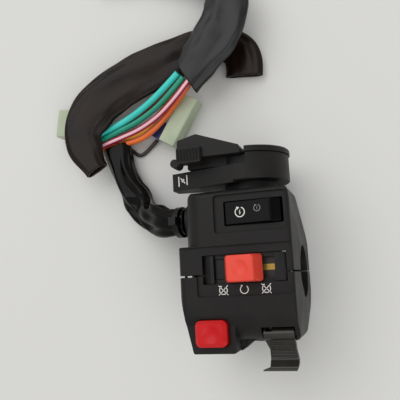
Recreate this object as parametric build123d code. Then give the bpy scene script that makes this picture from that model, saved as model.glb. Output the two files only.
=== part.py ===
from build123d import *
import math
import os

os.makedirs("parts", exist_ok=True)

# A left-hand handlebar switch cluster: a clamp-on housing in two halves with a starter rocker,
# a sliding engine stop switch, a horn button, a finger trigger, a choke lever on top and a
# wiring loom in soft sleeves.
# All sizes are in millimetres. The origin is the centre of the handlebar bore, at the middle of
# its length. X runs along the handlebar, Y runs up towards the choke lever, and Z points out of
# the switch face. The cluster lies on its back, on the plane z = floor_z.

# Handlebar clamp
bar_radius = 11.1
bore_clearance = 0.05
bore_radius = bar_radius + bore_clearance
saddle_wall = 2.2
parting_gap = 0.8
parting_half = parting_gap / 2
tongue_set_back = 1.2
tongue_gap = 0.1

# Housing outline
wall = 2.2
front_z = 24.0
floor_z = -20.0
top_y = 34.5
bottom_y = -27.5
left_x = -24.0
upper_left_x = -21.4
upper_left_top_x = -19.0
right_x = 24.9
right_top_x = 23.2
right_front_x = 23.5
right_widest_z = 8.0
ledge_y = 12.0
taper_start_y = -8.0
back_flat_half = 15.0
shoulder_z = 2.0
belly_z = -2.0
cavity_floor_z = -4.0
upper_flank_radius = 9.0
lower_flank_radius = 3.5
right_edge_radius = 1.6
right_widest_radius = 7.0
top_edge_radius = 2.5
top_corner_radius = 3.2
shoulder_radius = 7.0
belly_radius = 8.0
chin_radius = 12.0
small_radius = 1.0
edge_softening = 0.5
past = 80.0

# Panel recess round the engine stop switch
panel_left_x = -16.0
panel_right_x = 23.0
panel_top_y = 11.6
panel_bottom_y = -8.7
panel_depth = 1.0
panel_z = front_z - panel_depth
panel_corner_radius = 1.6

# Engine stop switch, which slides along the handlebar
kill_x = 3.6
kill_y = 2.2
kill_pitch = 8.6
kill_window_length = 34.4
kill_window_height = 11.8
kill_knob_base_length = 15.4
kill_knob_top_length = 10.6
kill_knob_height = 7.6
kill_knob_width = 11.0
kill_knob_corner = 1.3
kill_knob_edge = 0.7
kill_knob_lift = 0.3
kill_dimple_radius = 3.3
kill_dimple_depth = 0.9
kill_neck_length = 5.6
kill_neck_width = 6.0
kill_carrier_left = 12.4
kill_carrier_right = 7.4
kill_carrier_width = 7.8
kill_carrier_height = 1.75
kill_slot_width = 8.2
kill_frame_left_x = -18.8
kill_frame_right_x = 21.9
kill_frame_bottom_y = -5.8
kill_frame_top_y = 10.2
kill_frame_top_z = 21.1
kill_frame_height = 2.6
kill_frame_z = kill_frame_top_z - kill_frame_height
kill_base_thickness = 1.2
kill_base_z = kill_frame_z - kill_base_thickness
kill_apron_length = 4.4
kill_apron_knee = 1.45
kill_apron_rise = 1.7
kill_apron_drop = 1.1
kill_bay_margin = 0.3
kill_fixed_contact_length = 6.4
kill_fixed_contact_width = 2.4
kill_fixed_contact_thickness = 0.2
kill_bridge_length = 10.2
kill_bridge_thickness = 0.3
kill_contact_gap = 0.15
kill_carrier_z = kill_frame_z + kill_fixed_contact_thickness + kill_contact_gap + kill_bridge_thickness
kill_ball_radius = 0.75
kill_track_depth = 1.0
kill_notch_extra = 0.2
kill_pocket_radius = 0.8
kill_spring_length = 2.6
kill_spring_bore_radius = 0.35

# Starter rocker
rocker_window_left_x = -3.3
rocker_window_right_x = 21.0
rocker_window_bottom_y = 19.5
rocker_window_top_y = 29.6
bezel_left_x = -7.4
bezel_right_x = 22.4
bezel_bottom_y = 16.6
bezel_top_y = 32.4
bezel_depth = 1.2
bezel_z = front_z - bezel_depth
bezel_corner_radius = 1.4
rocker_side_gap = 0.4
rocker_end_gap = 0.6
rocker_low_z = 23.4
rocker_ridge_z = 25.2
rocker_ridge_x = 16.4
rocker_ridge_radius = 0.6
rocker_ridge_rise = 0.25
rocker_tail_z = 23.2
rocker_skirt_z = 19.4
rocker_edge = 0.35
rocker_pin_x = 17.6
rocker_pin_z = 19.6
rocker_pin_radius = 1.0
rocker_boss_radius = 2.2
rocker_ear_width = 5.6
rocker_ear_thickness = 1.8
rocker_ear_low_z = 17.0
starter_plate_left_x = -5.6
starter_plate_right_x = 13.4
starter_plate_z = 12.9
plate_thickness = 1.6
rivet_radius = 1.3
rivet_height = 0.4
starter_rivet_x = 0.0
starter_rivet_spread = 2.6
starter_contact_drop = 2.3
shelf_thickness = 3.0

# Hinge springs, wound round the pins
hinge_spring_wire = 0.5
hinge_spring_turns = 4
trigger_spring_turns = 2
hinge_spring_gap = 0.3

# Horn button
pod_right_x = -1.3
pod_top_y = -13.0
pod_bottom_y = -31.0
pod_left_bottom_x = -19.0
pod_front_z = 23.2
pod_back_z = 2.0
pod_edge_radius = 1.0
horn_x = -10.6
horn_y = -22.9
horn_length = 12.9
horn_height = 10.4
horn_gap = 0.3
horn_top_z = 27.2
horn_corner_radius = 2.2
horn_bevel = 1.3
horn_bevel_depth = 1.1
horn_dimple_radius = 3.6
horn_dimple_depth = 0.8
horn_flange = 0.9
horn_flange_thickness = 1.6
horn_flange_top_z = 20.7
horn_wall_z = 20.9
horn_stem_radius = 1.6
horn_stem_end_z = 12.6
horn_contact_radius = 2.6
horn_contact_thickness = 0.5
horn_base_top_z = 9.2
horn_base_margin = 0.3
horn_rivet_spread = 1.7
horn_spring_radius = 3.6
horn_spring_wire = 0.6
horn_spring_turns = 5
horn_spring_end_gap = 0.1
horn_chamber_margin = 1.2

# Finger trigger
trigger_left_x = 9.3
trigger_right_x = 21.3
trigger_y = -24.0
trigger_z = 18.3
trigger_barrel_radius = 2.6
trigger_pin_radius = 1.2
trigger_slot_gap = 0.6
trigger_slot_top_y = -21.2
trigger_slot_floor_z = 12.2
trigger_blade_thickness = 2.4
trigger_knee_y = -30.2
trigger_knee_z = 15.6
trigger_heel_y = -34.4
trigger_heel_z = 15.2
trigger_lip_y = -38.0
trigger_lip_z = 18.6
trigger_waist_left_x = 10.8
trigger_tip_right_x = 22.0
trigger_tip_radius = 5.0
trigger_hook_left_x = 7.6
trigger_hook_height = 2.4
trigger_arm_left_x = 12.2
trigger_arm_right_x = 18.4
trigger_arm_end_y = -16.2
trigger_arm_z = 14.8
trigger_arm_thickness = 2.0
trigger_plate_left_x = 9.4
trigger_plate_top_y = -14.4
trigger_plate_z = 10.2
trigger_rivet_spread = 2.2
trigger_contact_thickness = 0.5
pin_running_gap = 0.05
pin_seat_depth = 1.4

# Clamp screws
screw_radius = 2.0
screw_clearance = 0.2
screw_head_radius = 3.6
screw_head_height = 3.0
screw_recess_gap = 0.3
screw_socket_radius = 1.7
screw_socket_depth = 1.6
screw_socket_arms = 4
screw_boss_wall = 2.2
front_screw_x = 3.0
front_screw_z = 14.4
front_screw_seat_y = -22.8
rear_screw_x = 3.0
rear_screw_z = -15.7
rear_screw_seat_y = -13.0
clamp_thread_end_y = 12.5

# Small self-tapping screws that hold the switch plates
tapping_radius = 0.9
tapping_head_radius = 1.7
tapping_head_height = 1.1
tapping_length = 4.4
kill_screw_inset = 1.9

# Choke unit
choke_x = 5.4
choke_z = 5.0
choke_radius = 17.0
choke_cup_wall = 2.0
choke_neck_radius = 11.5
choke_neck_height = 3.8
choke_floor_y = top_y + choke_neck_height
choke_floor_thickness = 2.2
drum_floor_gap = 0.9
drum_bottom_y = choke_floor_y + choke_floor_thickness + drum_floor_gap
drum_height = 4.4
lever_hub_bottom_y = drum_bottom_y + drum_height
lever_hub_thickness = 3.4
lever_hub_top_y = lever_hub_bottom_y + lever_hub_thickness
choke_cut_gap = 0.4
choke_cut_y = lever_hub_bottom_y - choke_cut_gap
choke_wall_rise = 0.5
choke_wall_top_y = lever_hub_top_y + choke_wall_rise
choke_cut_from_deg = 85.0
choke_cut_to_deg = 236.0
sector_steps = 8
choke_tail_end_x = -28.0
choke_tail_drop = 0.6
choke_tail_bottom_y = choke_floor_y - choke_tail_drop
choke_tail_gap = 0.2
choke_tail_top_y = choke_cut_y - choke_tail_gap
choke_tail_front_z = 14.0
choke_tail_back_z = 5.6
choke_tail_edge = 0.8
choke_tail_root_drop = 3.0
cable_bore_radius = 2.6
cable_bore_length = 13.0
cable_bore_rise = 0.4
cable_bore_y = drum_bottom_y + cable_bore_rise
cable_bore_z = 9.9
cable_wire_radius = 1.2
lid_overhang = 0.6
lid_radius = choke_radius + lid_overhang
lid_gap = 0.2
lid_thickness = 2.6
lid_edge_radius = 1.1
lid_cut_play_deg = 0.8
lid_hub_radius = 5.6
lever_hub_gap = 0.5
lever_hub_radius = choke_radius - choke_cup_wall - lever_hub_gap
lever_right_x = 5.0
lever_left_x = -21.9
lever_pad_right_x = -11.2
lever_pad_gap = 1.4
lever_pad_bottom_y = lever_hub_bottom_y + lever_pad_gap
lever_arm_gap = 0.2
lever_arm_bottom_y = lever_hub_top_y + lever_arm_gap
lever_left_rise = 8.1
lever_left_top_y = lever_arm_bottom_y + lever_left_rise
lever_pad_drop = 3.4
lever_pad_top_y = lever_left_top_y - lever_pad_drop
lever_peak_x = -13.4
lever_peak_rise = 10.1
lever_peak_y = lever_arm_bottom_y + lever_peak_rise
lever_right_rise = 3.3
lever_right_top_y = lever_arm_bottom_y + lever_right_rise
lever_back_z = 11.0
lever_front_z = 23.6
lever_pad_front_z = 25.8
lever_root_front_z = 17.4
lever_root_left_x = -19.5
lever_edge_radius = 1.0
lever_rib_count = 8
lever_rib_radius = 0.45
lever_nub_radius = 1.9
lever_nub_x = -23.4
lever_nub_rise = 0.6
lever_nub_y = lever_pad_bottom_y + lever_nub_rise
lever_nub_back_z = 17.0
pivot_radius = 3.0
pivot_head_radius = 4.6
pivot_head_height = 1.8
pivot_slot_width = 1.2
drum_radius = 9.5
drum_groove_radius = 0.9
drum_nipple_radius = 1.9
drum_nipple_inset = 2.85
washer_radius = 5.5
washer_thickness = 0.3
choke_screw_spread = 8.0
choke_screw_length = 9.0
choke_screw_radius = 1.4
choke_screw_head_radius = 2.7
choke_screw_head_height = 1.2

# Cable outlet, grommet and tie
exit_y = 24.7
exit_z = 5.0
sleeve_a_radius = 5.75
grommet_wall = 1.4
grommet_flange = 1.6
grommet_fit = 0.1
tie_gap = 0.05
tie_thickness = 1.2
tie_width = 2.6
tie_offset = 3.4
tie_head = 3.6

# Loom sleeves: flat widths and thicknesses
sleeve_c_width = 17.0
sleeve_c_thickness = 5.0
sleeve_c_left_x = -86.0
sleeve_c_left_z = -4.6
sleeve_c_right_x = 8.0
sleeve_c_right_z = -17.0
sleeve_b_width = 17.0
sleeve_b_thickness = 6.0
wire_radius = 1.2
thick_wire_radius = 1.5
arc_share = 0.45

# Connectors, lying on the same surface as the housing
connector_height = 8.0
connector_right_height = 8.9
connector_edge = 0.8
connector_cavity = 3.0
connector_cavity_depth = 7.0
connector_rim_share = 0.33
connector_rows = 2
connector_latch_length = 9.0
connector_latch_width = 5.0
connector_latch_height = 1.4
small_connector_height = 5.6

# Places and sizes of the connectors: centre in plan, direction in degrees, length and width
connector_left_place = (-91.3, 84.8, -8.0, 20.0, 15.0)
connector_right_place = (-32.7, 78.3, 58.0, 26.0, 9.0)
connector_small_place = (-43.9, 75.4, 58.0, 9.0, 5.4)
connector_end_place = (-66.2, 166.4, 168.5, 24.0, 15.0)

# Routes of the loom, chosen by eye, from the housing outwards
sleeve_a_route = [
    (-24.6, 24.7, 5.0),
    (-34.6, 24.8, 3.4),
    (-44.0, 28.0, -3.6),
    (-52.2, 34.4, -10.2),
    (-59.0, 43.2, -14.0),
    (-64.6, 55.6, -14.2),
    (-67.2, 67.0, -14.2),
]
sleeve_c_plan = [
    (-77.0, 56.0),
    (-82.6, 66.4),
    (-83.0, 78.6),
    (-75.6, 90.0),
    (-63.4, 98.6),
    (-48.4, 105.0),
    (-31.0, 111.6),
    (-15.6, 115.6),
    (-4.6, 114.4),
    (2.4, 107.0),
    (1.4, 97.0),
]
sleeve_b_route = [
    (-24.6, 96.6, -5.0),
    (-16.9, 105.4, -3.4),
    (-8.6, 114.6, -3.0),
    (-2.6, 124.6, -3.6),
    (-2.2, 136.4, -4.8),
    (-7.4, 147.2, -6.4),
    (-17.4, 154.6, -8.8),
    (-29.6, 158.4, -11.8),
    (-41.8, 161.6, -14.4),
    (-53.6, 164.0, -15.8),
]
wire_routes = {
    "turquoise": [(-77.0, 75.6, -10.1), (-65.0, 79.0, -10.0), (-52.8, 84.0, -8.6),
                  (-40.0, 91.2, -6.4), (-29.0, 99.2, -3.7)],
    "green": [(-77.0, 72.4, -11.0), (-66.0, 75.6, -10.2), (-52.2, 79.4, -8.8),
              (-37.6, 87.0, -6.4), (-26.3, 96.8, -3.7)],
    "brown": [(-80.9, 83.3, -16.0), (-73.2, 80.6, -15.2), (-63.4, 80.4, -13.6),
              (-51.6, 84.6, -11.9), (-38.4, 91.6, -9.2), (-27.9, 98.3, -6.6)],
    "crimson": [(-77.0, 69.5, -11.6), (-65.5, 72.2, -10.6), (-50.4, 75.6, -9.0),
                (-35.2, 83.6, -6.2), (-23.7, 94.6, -3.7)],
    "orange": [(-77.0, 69.2, -14.8), (-65.5, 69.8, -13.6), (-50.2, 70.8, -11.6),
               (-34.0, 80.4, -9.0), (-21.8, 92.9, -6.6)],
    "yellow": [(-77.0, 72.2, -14.3), (-65.4, 73.2, -14.0), (-52.0, 73.9, -12.2),
               (-36.2, 83.0, -9.2), (-24.8, 95.5, -6.6)],
}
lead_radius = 0.9
lead_route = [
    (-76.0, 72.4, -18.9),
    (-68.6, 71.2, -18.9),
    (-61.4, 67.8, -18.9),
    (-57.0, 63.4, -18.9),
    (-51.6, 66.8, -18.9),
    (-46.8, 70.8, -18.0),
]


def along_x(face, x_low, x_high):
    """Extrude an outline drawn in Y and Z from one X to another."""
    plane = Plane(origin=(x_low, 0, 0), x_dir=(0, 1, 0), z_dir=(1, 0, 0))
    return extrude(plane * face, amount=x_high - x_low, dir=plane.z_dir)


def along_y(face, y_low, y_high):
    """Extrude an outline drawn in X and Z from one Y to another."""
    plane = Plane(origin=(0, y_high, 0), x_dir=(1, 0, 0), z_dir=(0, -1, 0))
    return extrude(plane * face, amount=y_high - y_low, dir=plane.z_dir)


def along_z(face, z_low, z_high):
    """Extrude an outline drawn in X and Y from one Z to another."""
    return extrude(Plane.XY.offset(z_low) * face, amount=z_high - z_low, dir=(0, 0, 1))


def block(x_low, x_high, y_low, y_high, z_low, z_high):
    """A plain box between two corners."""
    size = (x_high - x_low, y_high - y_low, z_high - z_low)
    centre = ((x_low + x_high) / 2, (y_low + y_high) / 2, (z_low + z_high) / 2)
    return Pos(*centre) * Box(*size)


def rod_x(radius, x_low, x_high, y, z):
    """A round bar along X."""
    return Pos((x_low + x_high) / 2, y, z) * Rot(0, 90, 0) * Cylinder(radius, x_high - x_low)


def rod_y(radius, y_low, y_high, x, z):
    """A round bar along Y."""
    return Pos(x, (y_low + y_high) / 2, z) * Rot(90, 0, 0) * Cylinder(radius, y_high - y_low)


def rod_z(radius, z_low, z_high, x, y):
    """A round bar along Z."""
    return Pos(x, y, (z_low + z_high) / 2) * Cylinder(radius, z_high - z_low)


def outline(*corners):
    """A flat closed outline from corners, each with the radius that rounds it."""
    points = [(x, y) for x, y, radius in corners]
    radii = [radius for x, y, radius in corners]
    return make_face(FilletPolyline(*points, radius=radii, close=True).edges())


def shrunk(face, inset):
    """The same outline, drawn in by one distance all round."""
    if inset == 0:
        return face
    return offset(face, amount=-inset, kind=Kind.INTERSECTION)


def side_outline():
    """The housing seen along the handlebar, in Y and Z."""
    return outline(
        (top_y, front_z, top_edge_radius),
        (top_y, shoulder_z, shoulder_radius),
        (back_flat_half, floor_z, shoulder_radius),
        (-back_flat_half, floor_z, shoulder_radius),
        (bottom_y, belly_z, belly_radius),
        (bottom_y, front_z, chin_radius),
    )


def taper_x(y):
    """The left edge of the lower case, which leans in towards the horn pod."""
    share_down = (taper_start_y - y) / (taper_start_y - pod_bottom_y)
    return left_x + (pod_left_bottom_x - left_x) * share_down


def front_outline():
    """The housing seen from the front, in X and Y, without the horn pod."""
    return outline(
        (upper_left_top_x, top_y, top_corner_radius),
        (upper_left_x, ledge_y, 0),
        (left_x, ledge_y, small_radius),
        (left_x, taper_start_y, 0),
        (taper_x(bottom_y), bottom_y, small_radius),
        (right_front_x, bottom_y, top_corner_radius),
        (right_x, taper_start_y, 0),
        (right_x, ledge_y, 0),
        (right_top_x, top_y, top_corner_radius),
    )


def section_outline(left, flank_radius):
    """The housing seen from above, in X and Z."""
    return outline(
        (left, floor_z - past, 0),
        (left, front_z, flank_radius),
        (right_front_x, front_z, right_edge_radius),
        (right_x, right_widest_z, right_widest_radius),
        (right_x, floor_z - past, 0),
    )


def housing_volume(inset):
    """The whole outside of the two cases, or the same drawn in by a wall."""
    side = along_x(shrunk(side_outline(), inset), -past, past)
    front = along_z(shrunk(front_outline(), inset), -past, past)
    both = side & front
    lower_section = shrunk(section_outline(left_x, lower_flank_radius), inset)
    upper_section = shrunk(section_outline(upper_left_x, upper_flank_radius), inset)
    lower = along_y(lower_section, -past, ledge_y - inset)
    upper = along_y(upper_section, ledge_y - inset, past)
    return (both & lower) + (both & upper)


def pod_volume(inset):
    """The block that carries the horn button, or the same drawn in by a wall."""
    face = outline(
        (taper_x(pod_top_y), pod_top_y, 0),
        (pod_right_x, pod_top_y, 0),
        (pod_right_x, pod_bottom_y, pod_edge_radius),
        (pod_left_bottom_x, pod_bottom_y, pod_edge_radius),
    )
    return along_z(shrunk(face, inset), pod_back_z, pod_front_z)


def gusset():
    """The slanted web between the pod and the case."""
    face = outline(
        (pod_right_x, pod_bottom_y, 0),
        (front_screw_x, bottom_y, 0),
        (front_screw_x, pod_top_y, 0),
        (pod_right_x, pod_top_y, 0),
    )
    return along_z(face, pod_back_z, front_screw_z)


def kill_bay():
    """The room behind the front wall that the stop switch fills."""
    return block(
        kill_frame_left_x - kill_bay_margin,
        kill_frame_right_x + kill_bay_margin,
        kill_frame_bottom_y - kill_bay_margin,
        kill_frame_top_y + kill_bay_margin,
        kill_base_z - kill_bay_margin,
        kill_frame_top_z,
    )


def kill_window():
    """The long window in the face."""
    face = Pos(kill_x, kill_y) * Rectangle(kill_window_length, kill_window_height)
    return along_z(face, kill_frame_top_z - kill_bay_margin, front_z + past)


def panel_recess():
    """The sunk panel round the window, open to the left above the parting line."""
    lower = outline(
        (panel_left_x, panel_top_y, 0),
        (panel_left_x, panel_bottom_y, panel_corner_radius),
        (panel_right_x, panel_bottom_y, panel_corner_radius),
        (panel_right_x, panel_top_y, 0),
    )
    upper = outline(
        (left_x - wall, panel_top_y, 0),
        (left_x - wall, 0, 0),
        (panel_right_x, 0, 0),
        (panel_right_x, panel_top_y, 0),
    )
    return along_z(lower, panel_z, front_z + past) + along_z(upper, panel_z, front_z + past)


def bezel_recess():
    """The sunk frame and the window of the starter rocker."""
    recess = outline(
        (bezel_left_x, bezel_bottom_y, bezel_corner_radius),
        (bezel_left_x, bezel_top_y, bezel_corner_radius),
        (bezel_right_x, bezel_top_y, bezel_corner_radius),
        (bezel_right_x, bezel_bottom_y, bezel_corner_radius),
    )
    window = outline(
        (rocker_window_left_x, rocker_window_bottom_y, edge_softening),
        (rocker_window_left_x, rocker_window_top_y, edge_softening),
        (rocker_window_right_x, rocker_window_top_y, edge_softening),
        (rocker_window_right_x, rocker_window_bottom_y, edge_softening),
    )
    return along_z(recess, bezel_z, front_z + past) + along_z(window, rocker_pin_z, front_z + past)


def clamp_boss(x, z, y_low, y_high, head_room):
    """The round post that one clamp screw runs through."""
    return rod_y(screw_radius + screw_boss_wall + head_room, y_low, y_high, x, z)


def screw_cuts(x, z, seat_y):
    """Clearance hole, thread hole and head recess of one clamp screw."""
    clearance = rod_y(screw_radius + screw_clearance, seat_y, parting_half, x, z)
    thread = rod_y(screw_radius, 0, clamp_thread_end_y, x, z)
    recess = rod_y(screw_head_radius + screw_recess_gap, bottom_y - wall, seat_y, x, z)
    return clearance + thread + recess


def rocker_ears():
    """Two ears under the front wall that carry the rocker's pin."""
    ears = []
    for inner_y, outward in ((rocker_window_bottom_y, -1), (rocker_window_top_y, 1)):
        near = inner_y
        far = inner_y + outward * rocker_ear_thickness
        ears.append(block(
            rocker_pin_x - rocker_ear_width / 2,
            rocker_pin_x + rocker_ear_width / 2,
            min(near, far),
            max(near, far),
            rocker_ear_low_z,
            bezel_z,
        ))
    return ears


def starter_shelf():
    """Two ribs in the upper case that the starter plate rests on."""
    low = rocker_window_bottom_y - rocker_ear_thickness - shelf_thickness
    high = top_y - wall
    return [
        block(starter_plate_left_x, starter_plate_right_x, low, low + shelf_thickness,
              cavity_floor_z, starter_plate_z),
        block(starter_plate_left_x, starter_plate_right_x, high - shelf_thickness, high,
              cavity_floor_z, starter_plate_z),
    ]


def trigger_shelf():
    """A rib in the lower case that the trigger's contact plate rests on."""
    return block(
        trigger_plate_left_x,
        right_x - wall,
        bottom_y + wall,
        trigger_plate_top_y,
        cavity_floor_z,
        trigger_plate_z,
    )


def choke_screw_places():
    """X of the two screws that hold the choke unit down."""
    return (choke_x - choke_screw_spread, choke_x + choke_screw_spread)


def trigger_slot():
    """The notch in the lower front corner that the trigger swings in."""
    return block(
        trigger_left_x - trigger_slot_gap,
        trigger_right_x + trigger_slot_gap,
        pod_bottom_y - wall,
        trigger_slot_top_y,
        trigger_slot_floor_z,
        front_z + wall,
    )


def horn_chamber():
    """The hollow of the pod under its face, and the window for the button."""
    chamber = block(
        horn_x - horn_length / 2 - horn_chamber_margin,
        horn_x + horn_length / 2 + horn_chamber_margin,
        horn_y - horn_height / 2 - horn_chamber_margin,
        horn_y + horn_height / 2 + horn_chamber_margin,
        horn_base_top_z - plate_thickness,
        horn_wall_z,
    )
    face = Pos(horn_x, horn_y) * RectangleRounded(
        horn_length + 2 * horn_gap, horn_height + 2 * horn_gap, horn_corner_radius + horn_gap)
    return chamber + along_z(face, horn_base_top_z, front_z + past)


def trigger_pin_ends():
    """Where the trigger's pin starts and stops."""
    low = trigger_left_x - trigger_slot_gap - pin_seat_depth
    high = trigger_right_x + trigger_slot_gap + pin_seat_depth
    return low, high


def rocker_pin_ends():
    """Where the rocker's pin starts and stops."""
    low = rocker_window_bottom_y - rocker_ear_thickness
    high = rocker_window_top_y + rocker_ear_thickness
    return low, high


def whole_case():
    """Both cases as one, before they are parted."""
    cavity = housing_volume(wall) & block(-past, past, -past, past, cavity_floor_z, past)
    cavity -= rod_x(bore_radius + saddle_wall, -past, past, 0, 0)
    case = housing_volume(0) - cavity
    inside = housing_volume(edge_softening)
    posts = clamp_boss(front_screw_x, front_screw_z, bottom_y, clamp_thread_end_y + screw_boss_wall, 0)
    posts += clamp_boss(front_screw_x, front_screw_z, bottom_y, front_screw_seat_y + wall,
                        screw_head_radius - screw_radius)
    posts += trigger_shelf()
    for rib in starter_shelf():
        posts += rib
    for x in choke_screw_places():
        posts += rod_y(choke_screw_head_radius, top_y - choke_screw_length, top_y - wall, x, choke_z)
    case += posts & inside
    case += pod_volume(0) + gusset()
    case -= kill_bay()
    case -= kill_window()
    case -= panel_recess()
    case -= bezel_recess()
    for ear in rocker_ears():
        case += ear
    pin_low, pin_high = rocker_pin_ends()
    case -= rod_y(rocker_pin_radius, pin_low, pin_high, rocker_pin_x, rocker_pin_z)
    case -= horn_chamber()
    case -= trigger_slot()
    pin_left, pin_right = trigger_pin_ends()
    case -= rod_x(trigger_pin_radius, pin_left, pin_right, trigger_y, trigger_z)
    case -= rod_x(bore_radius, -past, past, 0, 0)
    case -= screw_cuts(front_screw_x, front_screw_z, front_screw_seat_y)
    case -= screw_cuts(rear_screw_x, rear_screw_z, rear_screw_seat_y)
    for x in choke_screw_places():
        case -= rod_y(choke_screw_radius, top_y - choke_screw_length + wall, top_y, x, choke_z)
    hole_radius = sleeve_a_radius + grommet_wall + grommet_fit
    case -= rod_x(hole_radius, left_x - wall, left_x + choke_radius, exit_y, exit_z)
    for x, y, z_low in tapping_places():
        case -= rod_z(tapping_radius, z_low, z_low + tapping_length, x, y)
    return case


def tapping_places():
    """X, Y and lowest Z of each small screw's shank."""
    places = []
    for x in (kill_frame_left_x + kill_screw_inset, kill_frame_right_x - kill_screw_inset):
        places.append((x, kill_frame_top_y - kill_screw_inset, kill_base_z))
    low = rocker_window_bottom_y - rocker_ear_thickness - shelf_thickness
    high = top_y - wall
    screw_drop = tapping_length - plate_thickness
    for y in (low + kill_screw_inset, high - kill_screw_inset):
        places.append((starter_plate_right_x - kill_screw_inset, y, starter_plate_z - screw_drop))
    places.append((trigger_plate_left_x + kill_screw_inset,
                   trigger_slot_top_y - kill_screw_inset / 2, trigger_plate_z - screw_drop))
    return places


def upper_case(case):
    """The half with the starter rocker, the cable outlet and the choke."""
    return case & block(-past, past, parting_half, past, -past, past)


def lower_case(case):
    """The half with the horn pod and the trigger, and the tongue that closes the parting line."""
    half = case & block(-past, past, -past, -parting_half, -past, past)
    strip = case & block(left_x + wall, right_front_x - wall, -parting_half, parting_half - tongue_gap,
                         bore_radius + wall, panel_z - tongue_set_back)
    return half + strip


def clamp_screw(x, z, seat_y):
    """A pan-head clamp screw with a cross recess."""
    shank = rod_y(screw_radius, seat_y, clamp_thread_end_y - screw_recess_gap, x, z)
    head = rod_y(screw_head_radius, seat_y - screw_head_height, seat_y, x, z)
    head = fillet(head.edges().filter_by(GeomType.CIRCLE).group_by(Axis.Y)[0], screw_head_height / 2)
    bottom = seat_y - screw_head_height
    arm = screw_socket_radius / screw_socket_arms
    cross = block(x - screw_socket_radius, x + screw_socket_radius, bottom, bottom + screw_socket_depth,
                  z - arm, z + arm)
    cross += block(x - arm, x + arm, bottom, bottom + screw_socket_depth,
                   z - screw_socket_radius, z + screw_socket_radius)
    return shank + head - cross


def tapping_screws():
    """The small screws of the switch plates, with their heads on the plates."""
    screws = []
    for x, y, z_low in tapping_places():
        shank = rod_z(tapping_radius, z_low, z_low + tapping_length, x, y)
        if z_low == kill_base_z:
            head = rod_z(tapping_head_radius, z_low - tapping_head_height, z_low, x, y)
        else:
            top = z_low + tapping_length
            head = rod_z(tapping_head_radius, top, top + tapping_head_height, x, y)
        screws.append(shank + head)
    return screws


def kill_knob():
    """The red knob, with drafted ends, a round dimple and a neck down to the carrier."""
    base_z = panel_z + kill_knob_lift
    top_z = base_z + kill_knob_height
    base = Plane.XY.offset(base_z) * Pos(kill_x, kill_y) * RectangleRounded(
        kill_knob_base_length, kill_knob_width, kill_knob_corner)
    top = Plane.XY.offset(top_z) * Pos(kill_x, kill_y) * RectangleRounded(
        kill_knob_top_length, kill_knob_width - kill_knob_edge, kill_knob_corner)
    knob = loft([base, top])
    knob = fillet(knob.faces().sort_by(Axis.Z)[-1].edges(), kill_knob_edge)
    sphere_radius = (kill_dimple_radius ** 2 + kill_dimple_depth ** 2) / (2 * kill_dimple_depth)
    knob -= Pos(kill_x, kill_y, top_z + sphere_radius - kill_dimple_depth) * Sphere(sphere_radius)
    neck = block(kill_x - kill_neck_length / 2, kill_x + kill_neck_length / 2,
                 kill_y - kill_neck_width / 2, kill_y + kill_neck_width / 2,
                 kill_carrier_z + kill_carrier_height, base_z + edge_softening)
    return knob + neck


def kill_pocket():
    """The side pocket of the detent ball and its spring."""
    edge_y = kill_y + kill_carrier_width / 2
    z = kill_carrier_z + kill_carrier_height / 2
    return rod_y(kill_pocket_radius, edge_y - kill_spring_length - kill_ball_radius, edge_y + past,
                 kill_x, z)


def kill_carrier():
    """The black slider under the face that the knob drives."""
    carrier = block(kill_x - kill_carrier_left, kill_x + kill_carrier_right,
                    kill_y - kill_carrier_width / 2, kill_y + kill_carrier_width / 2,
                    kill_carrier_z, kill_carrier_z + kill_carrier_height)
    return carrier - kill_pocket()


def kill_detent_ball():
    """The ball that clicks into the three notches."""
    edge_y = kill_y + kill_carrier_width / 2
    return Pos(kill_x, edge_y, kill_carrier_z + kill_carrier_height / 2) * Sphere(kill_ball_radius)


def kill_detent_spring():
    """The short spring behind the ball."""
    edge_y = kill_y + kill_carrier_width / 2
    z = kill_carrier_z + kill_carrier_height / 2
    low = edge_y - kill_spring_length - kill_ball_radius
    high = edge_y - kill_ball_radius
    outside = rod_y(kill_ball_radius, low, high, kill_x, z)
    return outside - rod_y(kill_spring_bore_radius, low, high, kill_x, z)


def kill_bridge():
    """The brass bridge under the carrier that joins two fixed contacts."""
    return block(kill_x - kill_bridge_length / 2, kill_x + kill_bridge_length / 2,
                 kill_y - kill_fixed_contact_width, kill_y + kill_fixed_contact_width,
                 kill_carrier_z - kill_bridge_thickness, kill_carrier_z)


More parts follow.
